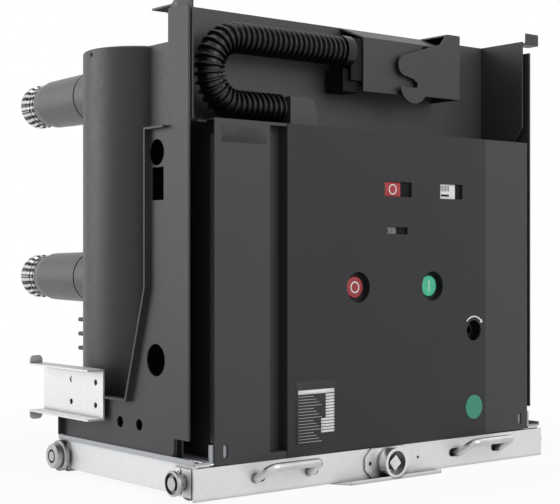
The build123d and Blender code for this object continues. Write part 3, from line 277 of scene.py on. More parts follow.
def hold(obj):
    """Makes one object the only selected and active one."""
    clear()
    obj.select_set(True)
    bpy.context.view_layer.objects.active = obj
    return obj


def settle(obj):
    """Puts an object's place, turn and scale into its mesh."""
    hold(obj)
    bpy.ops.object.transform_apply(location=True, rotation=True, scale=True)
    return obj


def discard(obj):
    """Deletes a master or a guide whose work is done."""
    hold(obj)
    bpy.ops.object.delete()


def open_mesh(obj):
    """Enters edit mode with the whole mesh selected."""
    hold(obj)
    bpy.ops.object.mode_set(mode="EDIT")
    bpy.ops.mesh.select_all(action="SELECT")


def close_mesh():
    """Leaves edit mode."""
    bpy.ops.object.mode_set(mode="OBJECT")


def choose(obj, kind, parts, test):
    """Enters edit mode with the faces or the edges selected that pass a test."""
    open_mesh(obj)
    bpy.ops.mesh.select_mode(type=kind)
    bpy.ops.mesh.select_all(action="DESELECT")
    close_mesh()
    chosen = [part for part in getattr(obj.data, parts) if test(part)]
    if not chosen:
        raise RuntimeError(f"nothing to shape among the {parts} of {obj.name}")
    for part in chosen:
        part.select = True
    bpy.ops.object.mode_set(mode="EDIT")


def pick(obj, test):
    """Selects the faces of a mesh that pass the test."""
    choose(obj, "FACE", "polygons", test)


def pick_edges(obj, test):
    """Selects the edges of a mesh whose two ends pass the test."""
    choose(obj, "EDGE", "edges",
           lambda edge: test(*(obj.data.vertices[index].co for index in edge.vertices)))


def modify(obj, kind, **settings):
    """Adds a modifier by operator, sets it and applies it."""
    hold(obj)
    bpy.ops.object.modifier_add(type=kind)
    modifier = obj.modifiers[-1]
    for key, value in settings.items():
        setattr(modifier, key, value)
    bpy.ops.object.modifier_apply(modifier=modifier.name)
    return obj


def soften(obj, width, segments=2):
    """Rounds the hard edges of a piece."""
    return modify(obj, "BEVEL", width=width, segments=segments, limit_method="ANGLE",
                  angle_limit=HARD_EDGE)


def block(low, high, edge=None):
    """Rectangular piece between two corners, its edges softened to a width if one is given."""
    clear()
    size = [b - a for a, b in zip(low, high)]
    centre = [(a + b) / 2 for a, b in zip(low, high)]
    bpy.ops.mesh.primitive_cube_add(size=1, location=centre)
    obj = bpy.context.object
    obj.scale = size
    settle(obj)
    return soften(obj, edge) if edge else obj


def disc(centre, radius, depth, sides=48, turn=FORWARD):
    """Round piece whose cap faces forward or sideways, its middle at centre."""
    clear()
    bpy.ops.mesh.primitive_cylinder_add(vertices=sides, radius=radius, depth=depth,
                                        location=centre, rotation=turn)
    return settle(bpy.context.object)


def along(face, direction):
    """Whether a face looks in a direction."""
    return face.normal.dot(Vector(direction)) > FACING


def join(pieces):
    """Joins like pieces of one body into one object."""
    clear()
    for piece in pieces:
        piece.select_set(True)
    bpy.context.view_layer.objects.active = pieces[0]
    bpy.ops.object.join()
    return pieces[0]


def copy_to(master, offset, turn=0.0):
    """Copy of a piece, with its own mesh, turned about Z and moved by an offset."""
    hold(master)
    bpy.ops.object.duplicate(linked=False)
    twin = bpy.context.object
    twin.rotation_euler = (0, 0, turn)
    twin.location = offset
    return settle(twin)


def finish(obj, name, body, material, smooth=30):
    """Names a piece, gives it its finish and lets it ride on its body."""
    hold(obj)
    bpy.ops.object.shade_smooth_by_angle(angle=radians(smooth))
    obj.name = name
    obj.data.name = name
    obj.data.materials.clear()
    obj.data.materials.append(material)
    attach(obj, body)
    return obj


# ------------------------------------------------------------------- materials
class NodeTree:
    """A node tree under construction."""

    def __init__(self, tree):
        self.tree = tree
        tree.nodes.clear()

    def link(self, source, target):
        self.tree.links.new(source, target)

    def add(self, kind, inputs=(), **settings):
        """Outputs of a new node, whose inputs are linked or given a plain value."""
        node = self.tree.nodes.new("ShaderNode" + kind)
        for key, value in settings.items():
            setattr(node, key, value)
        for key, value in dict(inputs).items():
            if isinstance(value, bpy.types.NodeSocket):
                self.link(value, node.inputs[key])
            else:
                node.inputs[key].default_value = value
        return node.outputs

    def reckon(self, operation, first, second=0.0):
        """Arithmetic on two values."""
        return self.add("Math", {0: first, 1: second}, operation=operation)["Value"]

    def seen_directly(self):
        """1 for rays from the camera, a gloss or a clear piece, and 0 for others."""
        rays = self.add("LightPath")
        value = rays["Is Camera Ray"]
        for name in ("Is Glossy Ray", "Is Transmission Ray"):
            value = self.reckon("MAXIMUM", value, rays[name])
        return value


class Finish(NodeTree):
    """A material under construction, with its patterns in Object coordinates."""

    def __init__(self, name):
        self.material = bpy.data.materials.new(name)
        self.material.use_nodes = True
        super().__init__(self.material.node_tree)
        self.shader = self.tree.nodes.new("ShaderNodeBsdfPrincipled")
        self.surface = self.tree.nodes.new("ShaderNodeOutputMaterial").inputs["Surface"]
        self.link(self.shader.outputs["BSDF"], self.surface)
        self.place = self.add("TexCoord")["Object"]

    def stretched(self, scale):
        """Coordinates for a pattern with a direction."""
        return self.add("Mapping", {"Scale": scale, "Vector": self.place})["Vector"]

    def noise(self, scale, detail=3.0, rough=0.5, vector=None):
        inputs = {"Scale": scale, "Detail": detail, "Roughness": rough,
                  "Vector": vector or self.place}
        return self.add("TexNoise", inputs)["Fac"]

    def cloud(self, scale, detail=3.0, low=0.0, high=1.0, margin=0.30, rough=0.5, vector=None):
        """Noise between two values, which it reaches a margin before its own ends."""
        return self.span(self.noise(scale, detail, rough, vector), low, high, margin, 1 - margin)

    def cells(self, scale):
        """One random value for each grain."""
        grains = self.add("TexVoronoi", {"Scale": scale, "Vector": self.place})
        return self.add("SeparateColor", {"Color": grains["Color"]})["Red"]

    def span(self, value, low, high, start=0.0, end=1.0):
        """Carries a value from its range between start and end to low and high."""
        inputs = {"Value": value, "From Min": start, "From Max": end, "To Min": low,
                  "To Max": high}
        return self.add("MapRange", inputs)["Result"]

    def blend(self, factor, first, second):
        """First colour where the factor is 0 and second where it is 1."""
        return self.add("Mix", {0: factor, 6: first, 7: second}, data_type="RGBA")[2]

    def rounded(self, radius):
        """Normals as if every edge had a small radius."""
        return self.add("Bevel", {"Radius": radius}, samples=4)["Normal"]

    def edges(self, radius):
        """1 on an edge and 0 on a flat face; some finishes paint a highlight along edges by it.
        """
        normals = {0: self.rounded(radius), 1: self.add("NewGeometry")["Normal"]}
        dot = self.add("VectorMath", normals, operation="DOT_PRODUCT")
        return self.span(dot["Value"], 1.0, 0.0, start=0.80, end=0.985)

    def gaps(self, distance, low=0.30, high=0.90):
        """0 in a narrow gap or a corner and 1 in the open; the finishes paint shade there by it.
        """
        near = self.add("AmbientOcclusion", {"Distance": distance}, samples=8)
        return self.span(near["AO"], 0.0, 1.0, low, high)

    def offset(self, value, pitch, first):
        """Distance of a coordinate from the nearest of a row of centres."""
        moved = self.reckon("SUBTRACT", value, first - pitch / 2)
        within = self.reckon("FLOORED_MODULO", moved, pitch)
        return self.reckon("SUBTRACT", within, pitch / 2)

    def bump(self, height, strength, distance, radius):
        """Fine relief, over edges that are rounded to a radius."""
        relief = self.add("Bump", {"Height": height, "Strength": strength,
                                   "Distance": distance, "Normal": self.rounded(radius)})
        self.link(relief["Normal"], self.shader.inputs["Normal"])

    def spread(self, factor, light):
        """Mixes a light into the finished surface."""
        mix = self.add("MixShader", {0: factor, 1: self.shader.outputs["BSDF"], 2: light})
        self.link(mix["Shader"], self.surface)

    def base(self, value):
        self.link(value, self.shader.inputs["Base Color"])

    def rough(self, value):
        self.link(value, self.shader.inputs["Roughness"])

    def set(self, **values):
        """Constants of the shader itself, by their names."""
        for key, value in values.items():
            self.shader.inputs[key.replace("_", " ")].default_value = value


def shade(rgb, factor):
    """A colour made lighter or darker, with its alpha."""
    return tuple(min(1.0, c * factor) for c in rgb) + (1.0,)


def powder_coat(name, rgb, low=0.40, high=0.56, grain=1500.0, edge=1.9, specular=0.5):
    """Fine orange-peel powder coat, its colour lighter along every edge as a painted highlight.

    Like every finish below, its roughness wanders between low and high."""
    f = Finish(name)
    f.set(Specular_IOR_Level=specular)
    cloud = f.cloud(scale=7.0, detail=4.0, margin=0.35)
    body = f.blend(cloud, shade(rgb, 0.93), shade(rgb, 1.07))
    # painted highlight: the colour times edge along every edge
    f.base(f.blend(f.edges(0.0011), body, shade(rgb, edge)))
    f.rough(f.cloud(210.0, 4.0, low, high, rough=0.6))
    f.bump(f.noise(grain, detail=2.0), strength=0.11, distance=0.00025, radius=0.0007)
    return f.material


def zinc_sheet(name, rgb, low=0.34, high=0.50, metal=0.45):
    """Zinc-coated sheet with faint spangle and rolling lines, darker along every edge, with
    painted shade in gaps and corners.
    """
    f = Finish(name)
    f.set(Metallic=metal)
    body = f.blend(f.cells(150.0), shade(rgb, 0.975), shade(rgb, 1.015))
    stain = f.span(f.noise(11.0, detail=5.0, rough=0.62), 0.0, 0.5, start=0.52, end=0.78)
    body = f.blend(stain, body, shade(rgb, 0.96))
    # darker along every edge
    body = f.blend(f.edges(0.0010), body, shade(rgb, 0.55))
    # painted shade: much darker in gaps and corners
    f.base(f.blend(f.gaps(0.010, high=0.85), shade(rgb, 0.22), body))
    f.rough(f.cloud(60.0, 5.0, low, high, rough=0.6, vector=f.stretched((0.25, 1.0, 6.0))))
    rolling = f.noise(420.0, rough=0.6, vector=f.stretched((0.2, 1.0, 3.0)))
    f.bump(rolling, strength=0.07, distance=0.0002, radius=0.0008)
    return f.material


def plated_metal(name, rgb, low, high, gap=0.008):
    """Plated or turned metal with fine tool marks, darkened as painted shade in gaps and
    corners.
    """
    f = Finish(name)
    f.set(Metallic=1.0)
    cloud = f.cloud(scale=40.0, detail=4.0, margin=0.35)
    body = f.blend(cloud, shade(rgb, 0.90), shade(rgb, 1.05))
    # painted shade: much darker in gaps and corners, within gap of another face
    f.base(f.blend(f.gaps(gap, low=0.35), shade(rgb, 0.10), body))
    lines = f.noise(500.0, rough=0.6)
    f.rough(f.span(lines, low, high, start=0.30, end=0.70))
    f.bump(lines, strength=0.06, distance=0.00012, radius=0.0005)
    return f.material


def contact_metal(name, rgb, finger_shade):
    """Silvered fingers with painted shade in the gaps between them and in tight corners."""
    f = Finish(name)
    f.set(Metallic=1.0)
    low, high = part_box("tulip_contacts_middle")
    width, height = high[0] - low[0], high[2] - low[2]
    phase_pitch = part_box("tulip_contacts_right")[0][0] - low[0]
    split = f.add("SeparateXYZ", {"Vector": f.place})
    side = f.offset(split["X"], phase_pitch, low[0] + width / 2)
    rise = f.offset(split["Z"], height - width, low[2] + width / 2)
    turn = f.reckon("MULTIPLY", f.reckon("ARCTAN2", rise, side), FINGER_COUNT)
    # painted shade: a dark stripe between each two fingers, and dark in tight corners
    fingers = f.span(f.reckon("COSINE", turn), 1.0, 0.0, start=-0.85, end=0.45)
    open_part = f.reckon("MULTIPLY", fingers, f.gaps(0.005, low=0.25, high=0.80))
    f.base(f.blend(open_part, shade(finger_shade, 1.0), shade(rgb, 1.0)))
    f.rough(f.cloud(scale=320.0, low=0.10, high=0.22))
    f.bump(f.noise(900.0, detail=2.0), strength=0.05, distance=0.0001, radius=0.0006)
    return f.material


def cast_resin(name, rgb, low, high):
    """Moulded resin or rubber with a soft sheen and faint flow marks, a painted highlight along
    its edges and painted shade in gaps and corners.
    """
    f = Finish(name)
    f.set(Specular_IOR_Level=0.44)
    flow = f.cloud(scale=9.0, detail=5.0, rough=0.6, vector=f.stretched((1.0, 1.0, 0.35)))
    body = f.blend(flow, shade(rgb, 0.92), shade(rgb, 1.08))
    # painted highlight along every edge
    body = f.blend(f.edges(0.0016), body, shade(rgb, 1.5))
    # painted shade: much darker in gaps and corners
    f.base(f.blend(f.gaps(0.006, low=0.35, high=0.85), shade(rgb, 0.15), body))
    f.rough(f.cloud(120.0, 4.0, low, high, rough=0.55))
    f.bump(f.noise(520.0), strength=0.08, distance=0.0003, radius=0.0014)
    return f.material


def moulded_plastic(name, rgb, low=0.26, high=0.38, coat=0.0, specular=0.5):
    """Smooth moulded plastic with a slight grain."""
    f = Finish(name)
    f.set(Coat_Weight=coat, Coat_Roughness=0.08, Specular_IOR_Level=specular)
    cloud = f.cloud(scale=55.0, detail=4.0, margin=0.35)
    f.base(f.blend(cloud, shade(rgb, 0.94), shade(rgb, 1.06)))
    f.rough(f.cloud(300.0, low=low, high=high))
    f.bump(f.noise(1100.0, detail=2.0), strength=0.05, distance=0.0001, radius=0.0004)
    return f.material


def plain_floor(name, rgb):
    """Pale floor that the camera sees as white, with the shadow kept."""
    f = Finish(name)
    f.set(Roughness=0.85, Specular_IOR_Level=0.1)
    f.base(f.blend(f.cloud(scale=2.0), shade(rgb, 0.995), shade(rgb, 1.0)))
    reach = f.add("VectorMath", {0: f.place}, operation="LENGTH")["Value"]
    share = f.reckon("MULTIPLY", f.span(reach, *FLOOR_WHITE, *FLOOR_FADE), f.seen_directly())
    f.spread(share, f.add("Emission", {"Color": WHITE, "Strength": 1.0})["Emission"])
    return f.material


def all_finishes(c):
    """Every finish of the breaker by its name; plain numbers are its low and high roughness."""
    coat, plastic = powder_coat, moulded_plastic
    return {
        # edge: how much lighter a coat is painted along its edges, a painted highlight
        "sheet": coat("powder_coated_sheet", c.sheet_black, 0.44, 0.52, specular=0.40),
        # painted light: lighter copy of the frame's coat for the shaded back panel
        "back": coat("powder_coated_back", c.back_lightened_black),
        # painted shade: near-black coat of the housing inside
        "interior": coat("dark_interior", c.shaded_housing_black, 0.60, 0.75),
        "cover": coat("powder_coated_cover", c.cover_black, 0.42, 0.56),
        "panel": coat("panel_film", c.panel_black, 0.44, 0.58, grain=2200.0, edge=2.4,
                      specular=0.35),
        "plate": coat("label_film", c.label_black, 0.44, 0.58, grain=2200.0, edge=1.6,
                      specular=0.35),
        "dark": coat("recess_black", c.recess_black, 0.50, 0.65, grain=1800.0, edge=1.4,
                     specular=0.15),
        # painted shade: near-black discs inside the holes
        "lining": coat("dark_lining", c.hole_shade_black, 0.85, 0.95, edge=1.0, specular=0.0),
        "galvanised": zinc_sheet("galvanised_sheet", c.galvanised),
        "deck": zinc_sheet("deck_sheet", c.deck_zinc, 0.40, 0.55, metal=0.50),
        "zinc": plated_metal("zinc_plate", c.zinc, 0.26, 0.42),
        "roller": plated_metal("roller_zinc", c.roller_zinc, 0.28, 0.44),
        "steel": plated_metal("bright_steel", c.steel, 0.30, 0.42, gap=0.016),
        "dark_steel": plated_metal("dark_steel", c.dark_steel, 0.30, 0.46),
        "epoxy": cast_resin("cast_resin", c.epoxy, 0.38, 0.50),
        "sleeve": cast_resin("moulded_sleeve", c.sleeve, 0.34, 0.46),
        "silver": contact_metal("contact_silver", c.silver, c.finger_shade),
        "conduit": plastic("conduit_plastic", c.conduit, 0.28, 0.38, specular=0.34),
        "red": plastic("button_red_plastic", c.signal_red, coat=0.2),
        "green": plastic("button_green_plastic", c.signal_green, coat=0.2),
        "flag": plastic("flag_red_plastic", c.flag_red, 0.34, 0.46),
        "roundel": plastic("roundel_film", c.roundel_green, 0.40, 0.55),
        "white": plastic("mark_paint", c.mark_white, 0.45, 0.60),
        "faded": plastic("faded_print", c.faded_grey, 0.45, 0.60),
        "drum": plastic("counter_drum", c.drum_grey, 0.45, 0.60),
    }


finishes = {}       # filled by the first operator for the others

CAD_FINISH = {
    "galvanised": ("truck_front_plate", "truck_side_frame_left", "truck_side_frame_right",
                   "truck_cross_member", "truck_tongue_tray", "shutter_rail_left",
                   "shutter_rail_right"),
    "deck": ("deck_tray",),
    "zinc": ("racking_boss", "racking_screw"),
    "roller": ("front_roller_left", "front_roller_right", "rear_roller_left",
               "rear_roller_right"),
    "steel": ("pull_handle_left", "pull_handle_right"),
    "dark_steel": ("charging_shaft",),
    "sheet": ("side_plate_left", "side_plate_right", "bracket_plate_left",
              "bracket_plate_right"),
    "back": ("back_panel", "conduit_entry"),
    "interior": ("mechanism_housing",),
    "cover": ("front_cover", "plug_hook_bracket"),
    "panel": ("control_panel",),
    "epoxy": ("pole_left", "pole_middle", "pole_right"),
    "sleeve": ("contact_arms_left", "contact_arms_middle", "contact_arms_right"),
    "silver": ("tulip_contacts_left", "tulip_contacts_middle", "tulip_contacts_right"),
    "conduit": ("control_conduit", "conduit_fitting"),
    "red": ("o_button",),
    "green": ("i_button",),
    "white": ("spring_indicator",),
    "dark": ("position_indicator", "operation_counter", "stowed_plug"),
}


class BREAKER_OT_finishes(bpy.types.Operator):
    """Make the finishes and lay them on the metal, resin and plastic parts"""
    bl_idname = "breaker.finishes"
    bl_label = "Finishes"

    def execute(self, context):
        finishes.update(all_finishes(context.scene.breaker_colours))
        for name, members in CAD_FINISH.items():
            for member in members:
                mesh = nodes[member].data
                if not mesh.materials:
                    mesh.materials.append(finishes[name])
                for index in range(len(mesh.materials)):
                    mesh.materials[index] = finishes[name]
        left = [n for n, o in nodes.items() if not o.data.materials]
        if left:
            raise RuntimeError("parts without a finish: " + ", ".join(left))
        return {"FINISHED"}


# ------------------------------------------------------------------- conduit
class BREAKER_OT_conduit(bpy.types.Operator):
    """Bend the corrugated conduit from its collar round to the entry box"""
    bl_idname = "breaker.conduit"
    bl_label = "Conduit"

    def execute(self, context):
        sizes = context.scene.breaker_sizes
        low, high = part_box("control_conduit")
        radius = (high[1] - low[1]) / 2
        middle = (high[1] + low[1]) / 2
        top, bottom = high[2] - radius, low[2] + radius
        bend = (top - bottom) / 2
        turn = low[0] + radius + bend
        start, end = high[0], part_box("conduit_entry")[0][0]
        path = self.path(start, turn, end, top, bottom, bend, middle)
        run = (start - turn) + pi * bend + (end - turn)
        tube = self.tube(radius, sizes.rib_depth, run, sizes.rib_count)
        tube.location = (start, middle, top)
        modify(tube, "CURVE", object=path, deform_axis="POS_X")
        discard(path)
        open_mesh(settle(tube))
        bpy.ops.mesh.remove_doubles(threshold=BEND_WELD)
        bpy.ops.mesh.normals_make_consistent(inside=False)
        close_mesh()
        finish(tube, "corrugated_conduit", "breaker", finishes["conduit"],
               smooth=50)
        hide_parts("control_conduit")
        return {"FINISHED"}

    def path(self, start, turn, end, top, bottom, bend, middle):
        """Centreline of two level runs and the half turn between them."""
        clear()
        bpy.ops.curve.primitive_bezier_curve_add(location=(start, middle, top))
        curve = bpy.context.object
        spline = curve.data.splines[0]
        spline.bezier_points.add(3)
        arm = bend * CIRCLE_ARM
        reach = HANDLE_REACH
        rows = (
            ((start, top), (start + reach, top), (start - reach, top)),
            ((turn, top), (turn + reach, top), (turn - arm, top)),
            ((turn - bend, top - bend), (turn - bend, top - bend + arm),
             (turn - bend, top - bend - arm)),
            ((turn, bottom), (turn - arm, bottom), (turn + reach, bottom)),
            ((end, bottom), (end - reach, bottom), (end + reach, bottom)),
        )
        for point, row in zip(spline.bezier_points, rows):
            point.handle_left_type = point.handle_right_type = "FREE"
            spots = [(x - start, 0.0, z - top) for x, z in row]
            point.co, point.handle_left, point.handle_right = spots
        spline.resolution_u = BEND_STEPS
        curve.data.dimensions = "3D"
        curve.data.twist_mode = "Z_UP"
        return curve

    def tube(self, radius, depth, run, count):
        """One rib turned up from a ring, repeated along the run."""
        clear()
        pitch = run / count
        inner = radius - depth
        bpy.ops.mesh.primitive_circle_add(vertices=RIB_SIDES, radius=inner,
                                          rotation=(0, pi / 2, 0))
        rib = bpy.context.object
        open_mesh(settle(rib))
        now = inner
        for width, rise in RIB_PROFILE:
            wanted = inner + depth * rise
            bpy.ops.mesh.extrude_edges_move(
                TRANSFORM_OT_translate={"value": (pitch * width, 0, 0)})
            factor = wanted / now
            bpy.ops.transform.resize(value=(1, factor, factor))
            now = wanted
        close_mesh()
        return modify(rib, "ARRAY", fit_type="FIXED_COUNT", count=count,
                      use_merge_vertices=True, merge_threshold=RIB_WELD)


# --------------------------------------------------------------- buttons and marks
def painted(obj, name, body="breaker", finish_name="white"):
    """Finishes a mark, in white paint unless told otherwise."""
    return finish(obj, name, body, finishes[finish_name])


def ring_mark(centre, outer, inner, thick):
    """Flat painted ring facing the front."""
    ring = disc(centre, outer, thick)
    pick(ring, lambda face: abs(face.normal.y) > FACING)
    bpy.ops.mesh.inset(thickness=outer - inner)
    bpy.ops.mesh.bridge_edge_loops()
    close_mesh()
    return ring


def face_centre(node):
    """Middle of a node's front face."""
    low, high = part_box(node)
    return Vector(((low[0] + high[0]) / 2, low[1], (low[2] + high[2]) / 2))


class BREAKER_OT_buttons(bpy.types.Operator):
    """Mark the opening button with a ring and the closing button with a bar"""
    bl_idname = "breaker.buttons"
    bl_label = "Button marks"

    def execute(self, context):
        sizes = context.scene.breaker_sizes
        half, stroke, thick = sizes.button_mark, sizes.stroke, sizes.mark_proud
        spot = face_centre("o_button")
        ring = ring_mark(spot - Vector((0, thick / 2, 0)), half, half - stroke, thick)
        painted(ring, "o_button_mark", "o_button")
        spot = face_centre("i_button")
        low = spot - Vector((stroke / 2, thick, half))
        high = spot + Vector((stroke / 2, 0, half))
        painted(block(low, high, thick / 3), "i_button_mark", "i_button")
        return {"FINISHED"}


class BREAKER_OT_indicators(bpy.types.Operator):
    """Fit the position flag, the spring sign and the counter's digits"""
    bl_idname = "breaker.indicators"
    bl_label = "Indicators"

    def execute(self, context):
        self.flag()
        self.spring()
        self.counter()
        return {"FINISHED"}

    def spot(self, node, reach, proud):
        """Place at mid height of a window's plate, from its left end and off its face."""
        low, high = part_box(node)
        return low[0] + reach, low[1] - proud, (low[2] + high[2]) / 2

    def insert(self, node, left, right, rise, proud, edge=WINDOW_EDGE):
        """Block on a window's plate, between two heights about its middle."""
        start, front, middle = self.spot(node, left, proud)
        end, back, middle = self.spot(node, right, WINDOW_GAP)
        return block((start, front, middle + rise[0]), (end, back, middle + rise[1]), edge)

    def flag(self):
        """Red flag with a white ring on the left of the upper window."""
        node = "position_indicator"
        flag = self.insert(node, FLAG_LEFT, FLAG_RIGHT, (-FLAG_HALF, FLAG_HALF), INSERT_PROUD)
        painted(flag, "position_flag", finish_name="flag")
        centre = self.spot(node, (FLAG_LEFT + FLAG_RIGHT) / 2 + FLAG_RING_SHIFT,
                           INSERT_PROUD + FLAG_RING_THICK / 2)
        ring = ring_mark(centre, FLAG_RING_OUTER, FLAG_RING_INNER, FLAG_RING_THICK)
        painted(ring, "position_flag_ring")

    def spring(self):
        """Coil sign on the white plate and the dark part of its window."""
        node = "spring_indicator"
        low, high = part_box(node)
        width, half = high[0] - low[0], (high[2] - low[2]) / 2 - SHADE_MARGIN
        dark = self.insert(node, width * SHADE_SHARE, width - SHADE_MARGIN, (-half, half),
                           INSERT_PROUD)
        painted(dark, "spring_window_shade", finish_name="dark")
        bars = [(SIGN_LEFT + index * COIL_PITCH, COIL_WIDTH, COIL_RISE)
                for index in range(COIL_COUNT)]
        bars.append((SIGN_LEFT, SIGN_WIDTH, BASE_RISE))
        sign = [self.insert(node, left, left + wide, rise, SIGN_PROUD, SIGN_EDGE)
                for left, wide, rise in bars]
        painted(join(sign), "spring_sign", finish_name="dark")

    def counter(self):
        """Three digit drums behind the small window."""
        node = "operation_counter"
        drums, digits = [], []
        for index, figure in enumerate(COUNTER_FIGURES):
            left = DRUM_LEFT + index * DRUM_PITCH
            drums.append(self.insert(node, left, left + DRUM_WIDTH, (-DRUM_HALF, DRUM_HALF),
                                     DRUM_PROUD))
            digits.append(self.digit(figure, self.spot(node, left + DRUM_WIDTH / 2,
                                                       DIGIT_PROUD)))
        painted(join(drums), "counter_drums", finish_name="drum")
        painted(join(digits), "counter_digits", finish_name="dark")

    def digit(self, figure, spot):
        """One raised figure facing the front, its middle at a spot."""
        clear()
        bpy.ops.object.text_add(location=(0, 0, 0))
        text = bpy.context.object
        text.data.body = figure
        text.data.size = DIGIT_SIZE
        text.data.align_x = "CENTER"
        text.data.align_y = "CENTER"
        text.data.extrude = DIGIT_EXTRUDE
        text.data.resolution_u = DIGIT_STEPS
        hold(text)
        bpy.ops.object.convert(target="MESH")
        solid = bpy.context.object
        solid.rotation_euler = FORWARD
        solid.location = spot
        return settle(solid)


class BREAKER_OT_panel_marks(bpy.types.Operator):
    """Print the crank arrow, the plain roundel and the blank plates on the panel"""
    bl_idname = "breaker.panel_marks"
    bl_label = "Panel marks"

    def execute(self, context):
        sizes = context.scene.breaker_sizes
        left, front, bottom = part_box("control_panel")[0]
        shaft = face_centre("charging_shaft")
        self.arrow(shaft.x, front, shaft.z, sizes.stroke)
        green = disc((shaft.x, front - ROUNDEL_THICK / 2, bottom + ROUNDEL_RISE),
                     sizes.roundel, ROUNDEL_THICK, sides=64)
        soften(green, ROUNDEL_THICK / 4, segments=1)
        painted(green, "plain_roundel", finish_name="roundel")
        self.rating_plate(left, front, bottom, sizes.plate_thick)
        self.side_label()
        return {"FINISHED"}

    def arrow(self, x, front, z, stroke):
        """Curved arrow over the crank hole."""
        clear()
        start = (x + ARROW_RADIUS * cos(ARROW_START), front - ARROW_THICK / 2,
                 z + ARROW_RADIUS * sin(ARROW_START))
        bpy.ops.mesh.primitive_plane_add(size=1, location=start,
                                         rotation=(0, -ARROW_START, 0))
        arc = bpy.context.object
        arc.scale = (stroke, ARROW_THICK, 1)
        open_mesh(settle(arc))
        bpy.ops.mesh.select_mode(type="EDGE")
        bpy.ops.mesh.delete(type="ONLY_FACE")
        bpy.ops.mesh.select_all(action="SELECT")
        bpy.ops.mesh.spin(steps=ARROW_STEPS, angle=ARROW_SWEEP, center=(x, front, z),
                          axis=(0, 1, 0))
        bpy.ops.mesh.select_all(action="SELECT")
        bpy.ops.mesh.fill_holes(sides=4)
        bpy.ops.mesh.normals_make_consistent(inside=False)
        close_mesh()
        end = ARROW_START + ARROW_SWEEP
        tip = (x + ARROW_RADIUS * cos(end), front - ARROW_HEAD_THICK / 2,
               z + ARROW_RADIUS * sin(end))
        head = disc(tip, ARROW_HEAD, ARROW_HEAD_THICK, sides=3)
        painted(join([arc, head]), "crank_arrow")

    def rating_plate(self, corner_x, front, corner_z, thick):
        """Blank plate with ruled rows, low on the left of the panel."""
        left, right = corner_x + RATING_LEFT, corner_x + RATING_RIGHT
        low, high = corner_z + RATING_LOW, corner_z + RATING_HIGH
        plate = block((left, front - thick, low), (right, front, high), thick / 5)
        painted(plate, "rating_plate", finish_name="plate")
        face = front - thick

        def printed(start, end, bottom, top):
            """Thin print on the plate's face."""
            return block((start, face - PRINT_THICK, bottom), (end, face, top), PRINT_THICK / 5)

        rows, cells = [], []
        for index in range(ROW_COUNT):
            z = high - ROW_DROP - index * ROW_PITCH
            reach = ROW_SHORTEST + ROW_STEP * (index % ROW_LENGTHS)
            rows.append(printed(left + ROW_LEFT, left + reach, z, z + ROW_HEIGHT))
            if index < CELL_COUNT:
                width = NARROW_WIDTH if index < NARROW_CELLS else WIDE_WIDTH
                cells.append(printed(right - CELL_RIGHT - width, right - CELL_RIGHT,
                                     z + CELL_RISE[0], z + CELL_RISE[1]))
        cells.append(printed(left + HEADING_LEFT, right - CELL_RIGHT, high - HEADING_DROP[0],
                             high - HEADING_DROP[1]))
        painted(join(rows), "rating_plate_rows", finish_name="faded")
        painted(join(cells), "rating_plate_cells")

    def side_label(self):
        """Blank label high on the left of the cover."""
        low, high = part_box("front_cover")
        label = block((low[0] + LABEL_LEFT, low[1] - LABEL_THICK, high[2] - LABEL_DROP[0]),
                      (low[0] + LABEL_RIGHT, low[1], high[2] - LABEL_DROP[1]), LABEL_EDGE)
        painted(label, "blank_label", finish_name="plate")


# ------------------------------------------------------------------ poles
class BREAKER_OT_pole_fins(bpy.types.Operator):
    """Round out the fins low on the rear of each pole, and sink its top screw"""
    bl_idname = "breaker.pole_fins"
    bl_label = "Pole fins"

    def execute(self, context):
        sizes = context.scene.breaker_sizes
        fin = self.fin(sizes)
        screw = self.top_screw()
        for label in ("left", "middle", "right"):
            low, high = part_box(f"pole_{label}")
            axis_x = (low[0] + high[0]) / 2
            axis_y = high[1] - POLE_REACH
            fins = [copy_to(fin, (axis_x, axis_y, FIN_TOP - FIN_PITCH * index))
                    for index in range(FIN_COUNT)]
            finish(join(fins), f"pole_fins_{label}", "breaker",
                   finishes["epoxy"], smooth=35)
            head = copy_to(screw, (low[0], axis_y, high[2] - POLE_SCREW_DROP))
            finish(head, f"pole_screw_{label}", "breaker", finishes["dark"])
        discard(fin)
        discard(screw)
        return {"FINISHED"}

    def fin(self, sizes):
        """One level plate with round corners, for a pole whose axis is at the origin."""
        half, reach, thick = sizes.fin_half, sizes.fin_reach, sizes.fin_thick
        plate = block((-half, FIN_ROOT, -thick / 2), (half, reach, thick / 2))
        outer = (FIN_ROOT + reach) / 2
        pick_edges(plate, lambda a, b: abs(a.z - b.z) > thick / 2 and a.y > outer)
        bpy.ops.mesh.bevel(offset=FIN_CORNER, segments=8, affect="EDGES")
        close_mesh()
        return soften(plate, thick / 5)

    def top_screw(self):
        """Small dark screw for the outer side of a pole, at the origin."""
        screw = disc((0, 0, 0), POLE_SCREW_RADIUS, POLE_SCREW_THICK, sides=24, turn=SIDEWAYS)
        pick(screw, lambda face: along(face, (-1, 0, 0)))
        bpy.ops.mesh.inset(thickness=POLE_SCREW_RADIUS / 4, depth=-POLE_SCREW_SINK)
        close_mesh()
        return screw


